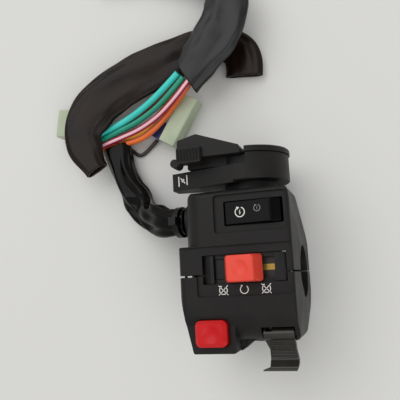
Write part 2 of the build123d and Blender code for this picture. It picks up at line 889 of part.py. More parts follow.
def kill_frame():
    """The guide frame of the slider, with a curved apron at each end of the window."""
    frame = block(kill_frame_left_x, kill_frame_right_x, kill_frame_bottom_y, kill_frame_top_y,
                  kill_frame_z, kill_frame_top_z)
    slot_left = kill_x - kill_carrier_left - kill_pitch - kill_bay_margin
    slot_right = kill_x + kill_carrier_right + kill_pitch + kill_bay_margin
    slot_low = kill_y - kill_slot_width / 2
    slot_high = kill_y + kill_slot_width / 2
    frame -= block(slot_left, slot_right, slot_low, slot_high, kill_frame_z, kill_frame_top_z)
    track_z = kill_carrier_z + kill_carrier_height / 2
    frame -= block(kill_x - kill_pitch - kill_ball_radius, kill_x + kill_pitch + kill_ball_radius,
                   slot_high, slot_high + kill_track_depth,
                   track_z - kill_pocket_radius, track_z + kill_pocket_radius)
    for step in (-1, 0, 1):
        frame -= rod_z(kill_ball_radius, track_z - kill_pocket_radius, track_z + kill_pocket_radius,
                       kill_x + step * kill_pitch, slot_high + kill_track_depth + kill_notch_extra
                       - kill_ball_radius)
    window_low = kill_y - kill_window_height / 2 + kill_bay_margin
    window_high = kill_y + kill_window_height / 2 - kill_bay_margin
    apron_z = kill_carrier_z + kill_carrier_height + kill_contact_gap
    for side in (-1, 1):
        outer_x = kill_x + side * (kill_window_length / 2 - kill_bay_margin)
        inner_x = outer_x - side * kill_apron_length
        low, high = min(outer_x, inner_x), max(outer_x, inner_x)
        apron = block(low, high, window_low, window_high, apron_z, kill_frame_top_z + kill_apron_rise)
        ramp = outline(
            (outer_x, kill_frame_top_z + kill_apron_rise, 0),
            (outer_x, kill_frame_top_z + kill_apron_rise - kill_apron_drop, 0),
            (inner_x + side * kill_apron_knee, kill_frame_top_z + kill_apron_rise, 0),
        )
        frame += apron - along_y(ramp, window_low, window_high)
    for x, y, z_low in tapping_places():
        if z_low == kill_base_z:
            frame -= rod_z(tapping_radius, kill_frame_z, z_low + tapping_length, x, y)
    return frame


def kill_base():
    """The brown laminate plate that carries the fixed contacts."""
    base = block(kill_frame_left_x, kill_frame_right_x, kill_frame_bottom_y, kill_frame_top_y,
                 kill_base_z, kill_frame_z)
    for x, y, z_low in tapping_places():
        if z_low == kill_base_z:
            base -= rod_z(tapping_radius, kill_base_z, kill_frame_z, x, y)
    return base


def kill_fixed_contacts():
    """Three brass pads that the bridge slides over."""
    pads = []
    for step in (-1, 0, 1):
        x = kill_x + step * kill_pitch
        pads.append(block(x - kill_fixed_contact_length / 2, x + kill_fixed_contact_length / 2,
                          kill_y - kill_fixed_contact_width / 2, kill_y + kill_fixed_contact_width / 2,
                          kill_frame_z, kill_frame_z + kill_fixed_contact_thickness))
    return pads


def starter_rocker():
    """The gloss black rocker: a long face that rises to a ridge, and a short tail."""
    left = rocker_window_left_x + rocker_end_gap
    right = rocker_window_right_x - rocker_end_gap
    low = rocker_window_bottom_y + rocker_side_gap
    high = rocker_window_top_y - rocker_side_gap
    profile = outline(
        (left, rocker_low_z, edge_softening),
        (rocker_ridge_x, rocker_ridge_z, small_radius),
        (right, rocker_tail_z, small_radius),
        (right, rocker_pin_z, small_radius),
        (rocker_pin_x, rocker_pin_z - rocker_boss_radius, small_radius),
        (rocker_pin_x - 2 * rocker_boss_radius, rocker_skirt_z, 0),
        (left, rocker_skirt_z, edge_softening),
    )
    rocker = along_y(profile, low, high)
    rocker = fillet(rocker.faces().sort_by(Axis.Y)[0].edges().filter_by(
        lambda edge: edge.center().Z > rocker_tail_z - edge_softening), rocker_edge)
    rocker = fillet(rocker.faces().sort_by(Axis.Y)[-1].edges().filter_by(
        lambda edge: edge.center().Z > rocker_tail_z - edge_softening), rocker_edge)
    rocker += rod_y(rocker_ridge_radius, low + 2 * rocker_edge, high - 2 * rocker_edge,
                    rocker_ridge_x, rocker_ridge_z + rocker_ridge_rise - rocker_ridge_radius)
    rocker -= rod_y(rocker_pin_radius + pin_running_gap, low, high, rocker_pin_x, rocker_pin_z)
    spring_low, spring_high = rocker_spring_span()
    room = rocker_pin_radius + hinge_spring_gap + hinge_spring_wire + hinge_spring_gap
    rocker -= rod_y(room, spring_low - hinge_spring_gap, spring_high + hinge_spring_gap,
                    rocker_pin_x, rocker_pin_z)
    rocker -= block(rocker_pin_x - room, rocker_pin_x + room,
                    spring_low - hinge_spring_gap, spring_high + hinge_spring_gap,
                    rocker_pin_z - 2 * room, rocker_pin_z)
    return rocker


def rocker_spring_span():
    """Y range of the coil on the rocker's pin."""
    middle = (rocker_window_bottom_y + rocker_window_top_y) / 2
    half = hinge_spring_turns * (hinge_spring_wire + hinge_spring_gap) / 2
    return middle - half, middle + half


def rocker_pin():
    """The steel pin that the rocker turns on."""
    low, high = rocker_pin_ends()
    return rod_y(rocker_pin_radius, low, high, rocker_pin_x, rocker_pin_z)


def coil(radius, wire, turns, pitch):
    """A helical spring along Z that starts at the origin, as one unbroken tube."""
    path = Helix(pitch=pitch, height=turns * pitch, radius=radius)
    section = Plane(origin=path @ 0, z_dir=path % 0) * Circle(wire / 2)
    print(f"coil of {turns} turns, least gap to itself {pitch - wire:.2f}")
    return sweep(section, path=path, is_frenet=True)


def rocker_spring():
    """The return spring wound round the rocker's pin."""
    low, high = rocker_spring_span()
    pitch = (high - low - hinge_spring_wire) / hinge_spring_turns
    radius = rocker_pin_radius + hinge_spring_gap + hinge_spring_wire / 2
    spring = coil(radius, hinge_spring_wire, hinge_spring_turns, pitch)
    return Pos(rocker_pin_x, high - hinge_spring_wire / 2, rocker_pin_z) * Rot(90, 0, 0) * spring


def starter_plate():
    """The laminate plate under the rocker."""
    low = rocker_window_bottom_y - rocker_ear_thickness - shelf_thickness
    plate = block(starter_plate_left_x, starter_plate_right_x, low, top_y - wall - tongue_gap,
                  starter_plate_z, starter_plate_z + plate_thickness)
    for x, y, z_low in tapping_places():
        if z_low < starter_plate_z < z_low + tapping_length:
            plate -= rod_z(tapping_radius, starter_plate_z, starter_plate_z + plate_thickness, x, y)
    return plate


def starter_rivets():
    """Two brass rivets that the starter contact closes."""
    middle = (rocker_window_bottom_y + rocker_window_top_y) / 2
    top = starter_plate_z + plate_thickness
    return [rod_z(rivet_radius, top, top + rivet_height,
                  starter_rivet_x, middle + side * starter_rivet_spread)
            for side in (-1, 1)]


def starter_contact():
    """The brass bridge on the foot under the rocker."""
    middle = (rocker_window_bottom_y + rocker_window_top_y) / 2
    reach = starter_rivet_spread + rivet_radius
    return block(starter_rivet_x - rivet_radius, starter_rivet_x + rivet_radius,
                 middle - reach, middle + reach, rocker_skirt_z - starter_contact_drop, rocker_skirt_z)


def horn_button():
    """The red button: a bevelled cap with a square flat, a dimple, a flange and a stem."""
    middle = Plane.XY.offset(horn_flange_top_z - horn_flange_thickness) * Pos(horn_x, horn_y)
    body = middle * RectangleRounded(horn_length, horn_height, horn_corner_radius)
    cap = extrude(body, amount=horn_top_z - horn_flange_top_z + horn_flange_thickness)
    cap = chamfer(cap.faces().sort_by(Axis.Z)[-1].edges(), horn_bevel_depth, horn_bevel)
    sphere_radius = (horn_dimple_radius ** 2 + horn_dimple_depth ** 2) / (2 * horn_dimple_depth)
    cap -= Pos(horn_x, horn_y, horn_top_z + sphere_radius - horn_dimple_depth) * Sphere(sphere_radius)
    flange = middle * RectangleRounded(
        horn_length + 2 * horn_flange, horn_height + 2 * horn_flange, horn_corner_radius)
    cap += extrude(flange, amount=horn_flange_thickness)
    cap += rod_z(horn_stem_radius, horn_stem_end_z, horn_flange_top_z, horn_x, horn_y)
    return cap


def horn_contact():
    """The brass disc on the end of the button's stem."""
    return rod_z(horn_contact_radius, horn_stem_end_z - horn_contact_thickness, horn_stem_end_z,
                 horn_x, horn_y)


def horn_spring():
    """The coil that pushes the horn button back up."""
    low = horn_base_top_z + horn_spring_end_gap
    high = horn_flange_top_z - horn_flange_thickness - horn_spring_end_gap
    pitch = (high - low - horn_spring_wire) / horn_spring_turns
    spring = coil(horn_spring_radius, horn_spring_wire, horn_spring_turns, pitch)
    return Pos(horn_x, horn_y, low + horn_spring_wire / 2) * spring


def horn_plate():
    """The laminate plate that closes the horn chamber."""
    plate = block(
        horn_x - horn_length / 2 - horn_chamber_margin + horn_base_margin,
        horn_x + horn_length / 2 + horn_chamber_margin - horn_base_margin,
        horn_y - horn_height / 2 - horn_chamber_margin + horn_base_margin,
        horn_y + horn_height / 2 + horn_chamber_margin - horn_base_margin,
        horn_base_top_z - plate_thickness,
        horn_base_top_z,
    )
    return plate


def horn_rivets():
    """Two brass rivets under the horn contact."""
    return [rod_z(rivet_radius, horn_base_top_z, horn_base_top_z + rivet_height,
                  horn_x + side * horn_rivet_spread, horn_y) for side in (-1, 1)]


def trigger_blade():
    """The trigger seen along the handlebar: barrel, blade and curled lip."""
    half = trigger_blade_thickness / 2
    path = [(trigger_y, trigger_z), (trigger_knee_y, trigger_knee_z), (trigger_heel_y, trigger_heel_z),
            (trigger_lip_y, trigger_lip_z)]
    upper, lower = [], []
    for index, (y, z) in enumerate(path):
        before = path[max(index - 1, 0)]
        after = path[min(index + 1, len(path) - 1)]
        length = math.hypot(after[0] - before[0], after[1] - before[1])
        normal = (-(after[1] - before[1]) / length, (after[0] - before[0]) / length)
        upper.append((y + half * normal[0], z + half * normal[1]))
        lower.append((y - half * normal[0], z - half * normal[1]))
    tip_radius = half - edge_softening
    corner_radii = [0, trigger_blade_thickness, half, tip_radius]
    corners = [(y, z, r) for (y, z), r in zip(upper, corner_radii)]
    corners += [(y, z, r) for (y, z), r in reversed(list(zip(lower, corner_radii)))]
    return outline(*corners)


def trigger_lever():
    """The finger trigger with its barrel, its blade and the inner arm."""
    blade = along_x(trigger_blade(), trigger_hook_left_x, trigger_tip_right_x)
    lip_low_y = trigger_lip_y - trigger_blade_thickness
    shape = outline(
        (trigger_left_x, trigger_y + trigger_barrel_radius, 0),
        (trigger_right_x, trigger_y + trigger_barrel_radius, 0),
        (trigger_right_x, trigger_knee_y, small_radius),
        (trigger_tip_right_x, trigger_heel_y, 0),
        (trigger_tip_right_x, lip_low_y, trigger_tip_radius),
        (trigger_hook_left_x, lip_low_y, small_radius),
        (trigger_hook_left_x, lip_low_y + trigger_hook_height, small_radius),
        (trigger_waist_left_x, lip_low_y + trigger_hook_height + small_radius, small_radius),
        (trigger_waist_left_x, trigger_knee_y, small_radius),
        (trigger_left_x, trigger_y - trigger_barrel_radius, small_radius),
    )
    lever = blade & along_z(shape, -past, past)
    lever += rod_x(trigger_barrel_radius, trigger_left_x, trigger_right_x, trigger_y, trigger_z)
    lever += block(trigger_arm_left_x, trigger_arm_right_x, trigger_y, trigger_arm_end_y,
                   trigger_arm_z, trigger_arm_z + trigger_arm_thickness)
    lever -= rod_x(trigger_pin_radius + pin_running_gap, trigger_left_x, trigger_right_x,
                   trigger_y, trigger_z)
    spring_low, spring_high = trigger_spring_span()
    room = trigger_pin_radius + hinge_spring_gap + hinge_spring_wire + hinge_spring_gap
    lever -= rod_x(room, spring_low - hinge_spring_gap, spring_high + hinge_spring_gap,
                   trigger_y, trigger_z)
    lever -= block(spring_low - hinge_spring_gap, spring_high + hinge_spring_gap,
                   trigger_y, trigger_y + 2 * room, trigger_z - room, trigger_z + room)
    return lever


def trigger_spring_span():
    """X range of the coil on the trigger's pin, left of the inner arm."""
    low = trigger_left_x + small_radius
    return low, trigger_arm_left_x


def trigger_spring():
    """The return spring wound round the trigger's pin."""
    low, high = trigger_spring_span()
    pitch = (high - low - hinge_spring_wire) / trigger_spring_turns
    radius = trigger_pin_radius + hinge_spring_gap + hinge_spring_wire / 2
    spring = coil(radius, hinge_spring_wire, trigger_spring_turns, pitch)
    return Pos(low + hinge_spring_wire / 2, trigger_y, trigger_z) * Rot(0, 90, 0) * spring


def trigger_pin():
    """The steel pin that the trigger turns on."""
    low, high = trigger_pin_ends()
    return rod_x(trigger_pin_radius, low, high, trigger_y, trigger_z)


def trigger_plate():
    """The laminate plate under the trigger's arm."""
    plate = block(trigger_plate_left_x, trigger_right_x, bottom_y + wall + screw_recess_gap,
                  trigger_plate_top_y,
                  trigger_plate_z, trigger_plate_z + plate_thickness)
    for x, y, z_low in tapping_places():
        if z_low < trigger_plate_z < z_low + tapping_length:
            plate -= rod_z(tapping_radius, trigger_plate_z, trigger_plate_z + plate_thickness, x, y)
    return plate


def trigger_rivets():
    """Two brass rivets that the trigger's contact closes."""
    middle = (trigger_arm_left_x + trigger_arm_right_x) / 2
    top = trigger_plate_z + plate_thickness
    y = trigger_arm_end_y - rivet_radius
    return [rod_z(rivet_radius, top, top + rivet_height, middle + side * trigger_rivet_spread, y)
            for side in (-1, 1)]


def trigger_contact():
    """The brass strip under the trigger's arm."""
    return block(trigger_arm_left_x, trigger_arm_right_x,
                 trigger_arm_end_y - 2 * rivet_radius, trigger_arm_end_y,
                 trigger_arm_z - trigger_contact_thickness, trigger_arm_z)


def sector(radius, from_deg, to_deg):
    """A slice of the plan of the choke, in X and Z, wide enough to cut its wall."""
    points = [(choke_x, choke_z)]
    for step in range(sector_steps + 1):
        angle = math.radians(from_deg + (to_deg - from_deg) * step / sector_steps)
        points.append((choke_x + 2 * radius * math.cos(angle), choke_z + 2 * radius * math.sin(angle)))
    return make_face(Polyline(*points, close=True).edges())


def choke_tail():
    """The flat tail of the choke housing, tangent to the front of the cup."""
    run = choke_x - choke_tail_end_x
    rise = choke_z - choke_tail_front_z
    distance = math.hypot(run, rise)
    heading = math.atan2(rise, run) + math.asin(choke_radius / distance)
    tangent = math.sqrt(distance ** 2 - choke_radius ** 2)
    touch_x = choke_tail_end_x + tangent * math.cos(heading)
    touch_z = choke_tail_front_z + tangent * math.sin(heading)
    plan = outline(
        (choke_tail_end_x, choke_tail_front_z, choke_tail_edge),
        (touch_x, touch_z, 0),
        (choke_x, choke_z, 0),
        (choke_x - choke_radius, choke_z - choke_tail_root_drop, 0),
        (choke_tail_end_x, choke_tail_back_z, choke_tail_edge),
    )
    return along_y(plan, choke_tail_bottom_y, choke_tail_top_y)


def choke_housing():
    """The round cup with its tail, its neck and the gap that the lever swings in."""
    cup = rod_y(choke_radius, choke_floor_y, choke_wall_top_y, choke_x, choke_z)
    cup = fillet(cup.edges().filter_by(GeomType.CIRCLE).group_by(Axis.Y)[0], choke_tail_edge)
    cup += choke_tail()
    cup += rod_y(choke_neck_radius, top_y, choke_floor_y, choke_x, choke_z)
    inner_floor = choke_floor_y + choke_floor_thickness
    cup -= rod_y(choke_radius - choke_cup_wall, inner_floor, past, choke_x, choke_z)
    cup -= along_y(sector(choke_radius, choke_cut_from_deg, choke_cut_to_deg), choke_cut_y, past)
    cup -= rod_y(pivot_radius, top_y, inner_floor, choke_x, choke_z)
    for x in choke_screw_places():
        cup -= rod_y(choke_screw_radius, top_y, inner_floor, x, choke_z)
    cup -= rod_x(cable_bore_radius, choke_tail_end_x - wall, choke_tail_end_x + cable_bore_length,
                 cable_bore_y, cable_bore_z)
    cup -= rod_x(cable_wire_radius, choke_tail_end_x, choke_x - choke_radius + wall * 2,
                 cable_bore_y, cable_bore_z)
    return cup


def choke_lid():
    """The domed cover, cut away where the lever swings."""
    bottom = choke_wall_top_y + lid_gap
    top = bottom + lid_thickness
    lid = rod_y(lid_radius, bottom, top, choke_x, choke_z)
    lid = fillet(lid.edges().filter_by(GeomType.CIRCLE).group_by(Axis.Y)[-1], lid_edge_radius)
    cut = along_y(sector(lid_radius, choke_cut_from_deg + lid_cut_play_deg, choke_cut_to_deg), bottom, top)
    cut -= rod_y(lid_hub_radius, bottom, top, choke_x, choke_z)
    lid -= cut
    lid -= rod_y(pivot_radius, bottom, top, choke_x, choke_z)
    return lid


def choke_lever():
    """The choke lever: hub, raised arm and ribbed thumb pad with a small end nub."""
    hub = rod_y(lever_hub_radius, lever_hub_bottom_y, lever_hub_top_y, choke_x, choke_z)
    arm_face = outline(
        (lever_left_x, lever_arm_bottom_y, 0),
        (lever_left_x, lever_left_top_y, lever_edge_radius),
        (lever_peak_x, lever_peak_y, lever_edge_radius),
        (lever_right_x, lever_right_top_y, lever_edge_radius),
        (lever_right_x, lever_arm_bottom_y, 0),
    )
    arm = along_z(arm_face, lever_back_z, lever_front_z)
    root = block(lever_root_left_x, lever_right_x, lever_hub_bottom_y, lever_arm_bottom_y,
                 lever_back_z, lever_root_front_z)
    pad_face = outline(
        (lever_left_x, lever_pad_bottom_y, lever_edge_radius),
        (lever_left_x, lever_pad_top_y, lever_edge_radius),
        (lever_pad_right_x, lever_pad_top_y, lever_edge_radius),
        (lever_pad_right_x, lever_pad_bottom_y, lever_edge_radius),
    )
    pad = along_z(pad_face, lever_front_z - 2 * lever_nub_radius, lever_pad_front_z - lever_rib_radius)
    rib_pitch = (lever_pad_right_x - lever_left_x) / lever_rib_count
    for index in range(lever_rib_count):
        x = lever_left_x + rib_pitch * (index + 1 / 2)
        pad += rod_y(lever_rib_radius, lever_pad_bottom_y + lever_edge_radius,
                     lever_pad_top_y - lever_edge_radius, x, lever_pad_front_z - lever_rib_radius)
    nub = rod_z(lever_nub_radius, lever_nub_back_z, lever_front_z, lever_nub_x, lever_nub_y)
    nub += block(lever_nub_x, lever_left_x + lever_edge_radius, lever_nub_y - lever_nub_radius / 2,
                 lever_nub_y + lever_nub_radius / 2,
                 lever_front_z - 2 * lever_nub_radius, lever_front_z)
    lever = hub + root + arm + pad + nub
    return lever - rod_y(pivot_radius + pin_running_gap, lever_hub_bottom_y, lever_hub_top_y,
                         choke_x, choke_z)


def choke_drum():
    """The cable drum under the lever's hub, with a groove and a nipple hole."""
    drum = rod_y(drum_radius, drum_bottom_y, lever_hub_bottom_y, choke_x, choke_z)
    groove_y = cable_bore_y + drum_groove_radius
    drum -= Pos(choke_x, groove_y, choke_z) * Rot(90, 0, 0) * Torus(drum_radius, drum_groove_radius)
    drum -= rod_y(drum_nipple_radius, drum_bottom_y, groove_y + drum_nipple_radius,
                  choke_x + drum_radius - drum_nipple_inset, choke_z)
    return drum - rod_y(pivot_radius + pin_running_gap, drum_bottom_y, lever_hub_bottom_y,
                        choke_x, choke_z)


def choke_pivot():
    """The screw that the lever turns on, with a domed head over the lid."""
    head_y = choke_wall_top_y + lid_gap + lid_thickness
    head = rod_y(pivot_head_radius, head_y, head_y + pivot_head_height, choke_x, choke_z)
    head = fillet(head.edges().filter_by(GeomType.CIRCLE).group_by(Axis.Y)[-1], pivot_head_height / 2)
    slot_half = pivot_slot_width / 2
    head -= block(choke_x - pivot_head_radius, choke_x + pivot_head_radius,
                  head_y + pivot_head_height / 2, head_y + pivot_head_height,
                  choke_z - slot_half, choke_z + slot_half)
    return head + rod_y(pivot_radius, top_y + tongue_gap, head_y, choke_x, choke_z)


def choke_washer():
    """The spring washer between the lever's hub and the lid, which gives the lever its drag."""
    high = choke_wall_top_y + lid_gap
    washer = rod_y(washer_radius, high - washer_thickness, high, choke_x, choke_z)
    return washer - rod_y(pivot_radius, high - washer_thickness, high, choke_x, choke_z)


def choke_screws():
    """The two screws that hold the choke unit on the upper case."""
    inner_floor = choke_floor_y + choke_floor_thickness
    screws = []
    for x in choke_screw_places():
        shank = rod_y(choke_screw_radius, top_y - choke_screw_length + wall, inner_floor, x, choke_z)
        head = rod_y(choke_screw_head_radius, inner_floor, inner_floor + choke_screw_head_height / 2,
                     x, choke_z)
        screws.append(shank + head)
    return screws


def grommet():
    """The rubber grommet in the cable outlet, with a lip inside the case's wall."""
    outer = sleeve_a_radius + grommet_wall
    inner_x = upper_left_x + 2 * wall
    collar = rod_x(outer, left_x, inner_x, exit_y, exit_z)
    lip = rod_x(outer + grommet_flange, upper_left_x, inner_x, exit_y, exit_z)
    body = collar + (lip & housing_volume(wall + grommet_fit))
    return body - rod_x(sleeve_a_radius, left_x - wall, inner_x + wall, exit_y, exit_z)


def heading(route, index):
    """Unit direction of one run of a route."""
    start, end = Vector(*route[index]), Vector(*route[index + 1])
    return (end - start).normalized()


def smooth_path(route, name):
    """Straight runs joined by tangent arcs, each as large as its two runs allow."""
    points = [Vector(*point) for point in route]
    radii = []
    for before, corner, after in zip(points, points[1:], points[2:]):
        turn = math.radians((corner - before).get_angle(after - corner))
        shorter = min((corner - before).length, (after - corner).length)
        radii.append(arc_share * shorter / math.tan(turn / 2))
    print(name, "arc radii", [round(radius, 1) for radius in radii])
    return FilletPolyline(*points, radius=radii)



def tube(route, radius, name):
    """A round tube along a route."""
    path = smooth_path(route, name)
    section = Plane(origin=path @ 0, z_dir=path % 0) * Circle(radius)
    solid = sweep(section, path=path)
    ratio = solid.volume / (math.pi * radius ** 2 * path.length)
    print(name, "length", round(path.length, 1), "volume over section times length", round(ratio, 4))
    return solid


def flat_section(width, thickness):
    """The section of a flattened sleeve: a long rounded slot."""
    return SlotOverall(width, thickness)


def sleeve_c_points():
    """The wide sleeve's route, on a plane that slopes down to the right."""
    slope = (sleeve_c_right_z - sleeve_c_left_z) / (sleeve_c_right_x - sleeve_c_left_x)
    return [(x, y, sleeve_c_left_z + slope * (x - sleeve_c_left_x)) for x, y in sleeve_c_plan]


def flat_tube(route, width, thickness, across, name):
    """A flattened tube along a route, with its width along a given direction at the start."""
    path = smooth_path(route, name)
    start = Plane(origin=path @ 0, x_dir=across, z_dir=path % 0)
    section = start * flat_section(width, thickness)
    solid = sweep(section, path=path)
    area = flat_section(width, thickness).area
    print(name, "length", round(path.length, 1), "volume over section times length",
          round(solid.volume / (area * path.length), 4))
    return solid


def sleeve_a():
    """The sleeve that leaves the housing."""
    return tube(sleeve_a_route, sleeve_a_radius, "sleeve a")


def sleeve_c():
    """The wide flat sleeve that loops over the first one."""
    route = sleeve_c_points()
    slope = (sleeve_c_right_z - sleeve_c_left_z) / (sleeve_c_right_x - sleeve_c_left_x)
    plane_normal = Vector(-slope, 0, 1).normalized()
    across = heading(route, 0).cross(plane_normal)
    return flat_tube(route, sleeve_c_width, sleeve_c_thickness, across, "sleeve c")


def sleeve_b():
    """The flat branch sleeve that rises over the wide one and curls away to the left."""
    across = heading(sleeve_b_route, 0).cross(Vector(0, 0, 1))
    return flat_tube(sleeve_b_route, sleeve_b_width, sleeve_b_thickness, across, "sleeve b")


def place(spec, height):
    """The location of a connector that lies on the surface."""
    x, y, angle = spec[:3]
    return Pos(x, y, floor_z + height / 2) * Rot(0, 0, angle)


def connector(spec, height):
    """A moulded nylon connector with terminal holes in its open end."""
    length, width = spec[3:]
    shell = Box(length, width, height)
    shell = fillet(shell.edges().filter_by(Axis.X), connector_edge)
    columns = int(width / (connector_cavity + connector_edge))
    pitch_y = width / (columns + connector_rim_share)
    pitch_z = height / (connector_rows + connector_rim_share)
    hole = min(connector_cavity, pitch_z - connector_edge)
    for row in range(connector_rows):
        for column in range(columns):
            y = (column - (columns - 1) / 2) * pitch_y
            z = (row - (connector_rows - 1) / 2) * pitch_z
            x = length / 2 - connector_cavity_depth / 2
            shell -= Pos(x, y, z) * Box(connector_cavity_depth, hole, hole)
    return place(spec, height) * shell


def latched_connector(spec):
    """The larger connector, with a latch bar on its upper side."""
    latch = Pos(0, 0, connector_height / 2 + connector_latch_height / 2) * Box(
        connector_latch_length, connector_latch_width, connector_latch_height)
    return connector(spec, connector_height) + place(spec, connector_height) * latch


def tie():
    """The small tie round the sleeve at the outlet."""
    along = heading(sleeve_a_route, 0)
    centre = Vector(*sleeve_a_route[0]) + along * tie_offset
    inner = sleeve_a_radius + tie_gap
    ring = Cylinder(inner + tie_thickness, tie_width)
    ring += Pos(inner + tie_head / 2, 0, 0) * Box(tie_head, tie_head, tie_head)
    ring -= Cylinder(inner, 2 * tie_head)
    return Plane(origin=centre, x_dir=(0, 0, 1), z_dir=along) * ring


def save(name, shape):
    """Write one named piece."""
    solids = shape if isinstance(shape, list) else [shape]
    flat = []
    for solid in solids:
        flat.extend(solid.solids())
    whole = flat[0] if len(flat) == 1 else Compound(children=flat)
    export_step(whole, f"parts/{name}.step")


def main():
    case = whole_case()
    save("upper_case", upper_case(case))
    save("lower_case", lower_case(case))
    save("front_clamp_screw", clamp_screw(front_screw_x, front_screw_z, front_screw_seat_y))
    save("rear_clamp_screw", clamp_screw(rear_screw_x, rear_screw_z, rear_screw_seat_y))
    save("switch_plate_screws", tapping_screws())
    save("stop_switch_knob", kill_knob())
    save("stop_switch_slider", kill_carrier())
    save("stop_switch_bridge_contact", kill_bridge())
    save("stop_switch_detent_ball", kill_detent_ball())
    save("stop_switch_detent_spring", kill_detent_spring())
    save("stop_switch_guide_frame", kill_frame())
    save("stop_switch_base_plate", kill_base())
    save("stop_switch_fixed_contacts", kill_fixed_contacts())
    save("starter_rocker", starter_rocker())
    save("starter_rocker_pin", rocker_pin())
    save("starter_rocker_spring", rocker_spring())
    save("starter_contact_bridge", starter_contact())
    save("starter_base_plate", starter_plate())
    save("starter_rivets", starter_rivets())
    save("horn_button", horn_button())
    save("horn_contact_disc", horn_contact())
    save("horn_return_spring", horn_spring())
    save("horn_base_plate", horn_plate())
    save("horn_rivets", horn_rivets())
    save("trigger_lever", trigger_lever())
    save("trigger_pin", trigger_pin())
    save("trigger_spring", trigger_spring())
    save("trigger_contact_strip", trigger_contact())
    save("trigger_base_plate", trigger_plate())
    save("trigger_rivets", trigger_rivets())
    save("choke_housing", choke_housing())
    save("choke_lid", choke_lid())
    save("choke_lever", choke_lever())
    save("choke_cable_drum", choke_drum())
    save("choke_pivot_screw", choke_pivot())
    save("choke_spring_washer", choke_washer())
    save("choke_mounting_screws", choke_screws())
    save("harness_grommet", grommet())
    save("harness_tie", tie())
    save("harness_sleeve_a", sleeve_a())
    save("harness_sleeve_b", sleeve_b())
    save("harness_sleeve_c", sleeve_c())
    for colour, route in wire_routes.items():
        radius = thick_wire_radius if colour == "turquoise" else wire_radius
        save(f"wire_{colour}", tube(route, radius, f"wire {colour}"))
    save("lead_right", tube(lead_route, lead_radius, "lead"))
    save("connector_left", latched_connector(connector_left_place))
    save("connector_right", connector(connector_right_place, connector_right_height))
    save("connector_end", latched_connector(connector_end_place))
    save("connector_small", connector(connector_small_place, small_connector_height))


main()
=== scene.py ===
# %% [markdown]
# This file dresses a imported CAD model of a handlebar switch cluster and sets up its picture. The
# cluster is a housing in two halves that clamps round a handlebar. It carries a starter rocker, a
# stop switch, a horn button, a trigger and a choke lever, and a loom of sleeves and wires leaves it.

# %% Load the imported model
import math

import bmesh
import bpy
from mathutils import Matrix, Vector, noise


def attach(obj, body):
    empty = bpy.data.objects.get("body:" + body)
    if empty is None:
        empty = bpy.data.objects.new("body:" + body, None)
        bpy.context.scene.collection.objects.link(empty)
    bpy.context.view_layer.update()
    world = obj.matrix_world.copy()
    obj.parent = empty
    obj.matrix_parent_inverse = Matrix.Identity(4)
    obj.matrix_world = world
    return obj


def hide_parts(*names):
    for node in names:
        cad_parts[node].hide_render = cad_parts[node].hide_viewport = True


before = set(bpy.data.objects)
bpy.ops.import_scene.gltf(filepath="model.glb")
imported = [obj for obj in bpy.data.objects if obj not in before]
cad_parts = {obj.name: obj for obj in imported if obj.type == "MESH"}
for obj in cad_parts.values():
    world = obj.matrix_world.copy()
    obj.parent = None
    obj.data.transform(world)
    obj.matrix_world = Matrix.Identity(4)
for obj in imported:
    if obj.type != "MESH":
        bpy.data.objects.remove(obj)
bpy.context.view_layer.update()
MM = 0.001

# %% [markdown]
# Blender works in metres and the cluster is measured in millimetres, so most lengths below are
# written in millimetres and multiplied by MM. Colours are easier to judge as the hex values of a
# picture editor, but a shader wants linear light, so one function turns one into the other. One
# more function adds a shader node with its settings and its links, which keeps each material short.

# %% Colour and node helpers
def linear(hex_colour):
    """An sRGB hex colour as linear red, green, blue and full alpha."""
    channels = [int(hex_colour[i:i + 2], 16) / 255 for i in (1, 3, 5)]
    bent = [c / 12.92 if c <= 0.04045 else ((c + 0.055) / 1.055) ** 2.4 for c in channels]
    return (*bent, 1.0)


def add(tree, kind, settings=None, links=None):
    """Add a shader node, set its properties and inputs, and link its inputs to other sockets."""
    node = tree.nodes.new(kind)
    for key, value in (settings or {}).items():
        if isinstance(key, str) and hasattr(node, key):
            setattr(node, key, value)
        else:
            node.inputs[key].default_value = value
    for key, socket in (links or {}).items():
        tree.links.new(socket, node.inputs[key])
    return node


def new_material(name):
    """An empty node material and its tree, with an output that waits for a shader."""
    material = bpy.data.materials.new(name)
    material.use_nodes = True
    tree = material.node_tree
    tree.nodes.clear()
    add(tree, "ShaderNodeOutputMaterial")
    return material, tree


def finish_material(tree, shader):
    """Connect the shader to the material's output."""
    output = next(node for node in tree.nodes if node.type == "OUTPUT_MATERIAL")
    tree.links.new(shader.outputs[0], output.inputs["Surface"])


print("the grey #808080 has a linear value of", round(linear("#808080")[0], 3))

# %% [markdown]
# The camera comes first, because the cords are judged against its view. The picture is taken from
# about 0.2 m above the switch face and a little to the right, and from that close near parts such
# as the stop knob look large. A camera could be turned by three angles, but its forward and upward
# directions are what can be worked out from the corners of the housing, so they are written here
# and a matrix is built from them.

# %% Camera
camera_place = Vector((51.2, -2.0, 235.6)) * MM
camera_forward = Vector((-0.2861, 0.1483, -0.9467))
camera_up = Vector((0.0950, 0.9875, 0.1259))
lens_mm, sensor_mm = 48.6, 36.0
switch_face_z_mm = 24.0

camera_data = bpy.data.cameras.new("view_camera")
camera_data.lens = lens_mm
camera_data.sensor_width = sensor_mm
camera = bpy.data.objects.new("view_camera", camera_data)
bpy.context.scene.collection.objects.link(camera)
backward = -camera_forward.normalized()
sideways = camera_up.cross(backward).normalized()
upward = backward.cross(sideways)
camera.matrix_world = Matrix.Translation(camera_place) @ Matrix(
    (sideways, upward, backward)).transposed().to_4x4()
bpy.context.scene.camera = camera
print("camera height over the switch face in mm", round(camera_place.z / MM - switch_face_z_mm, 1))
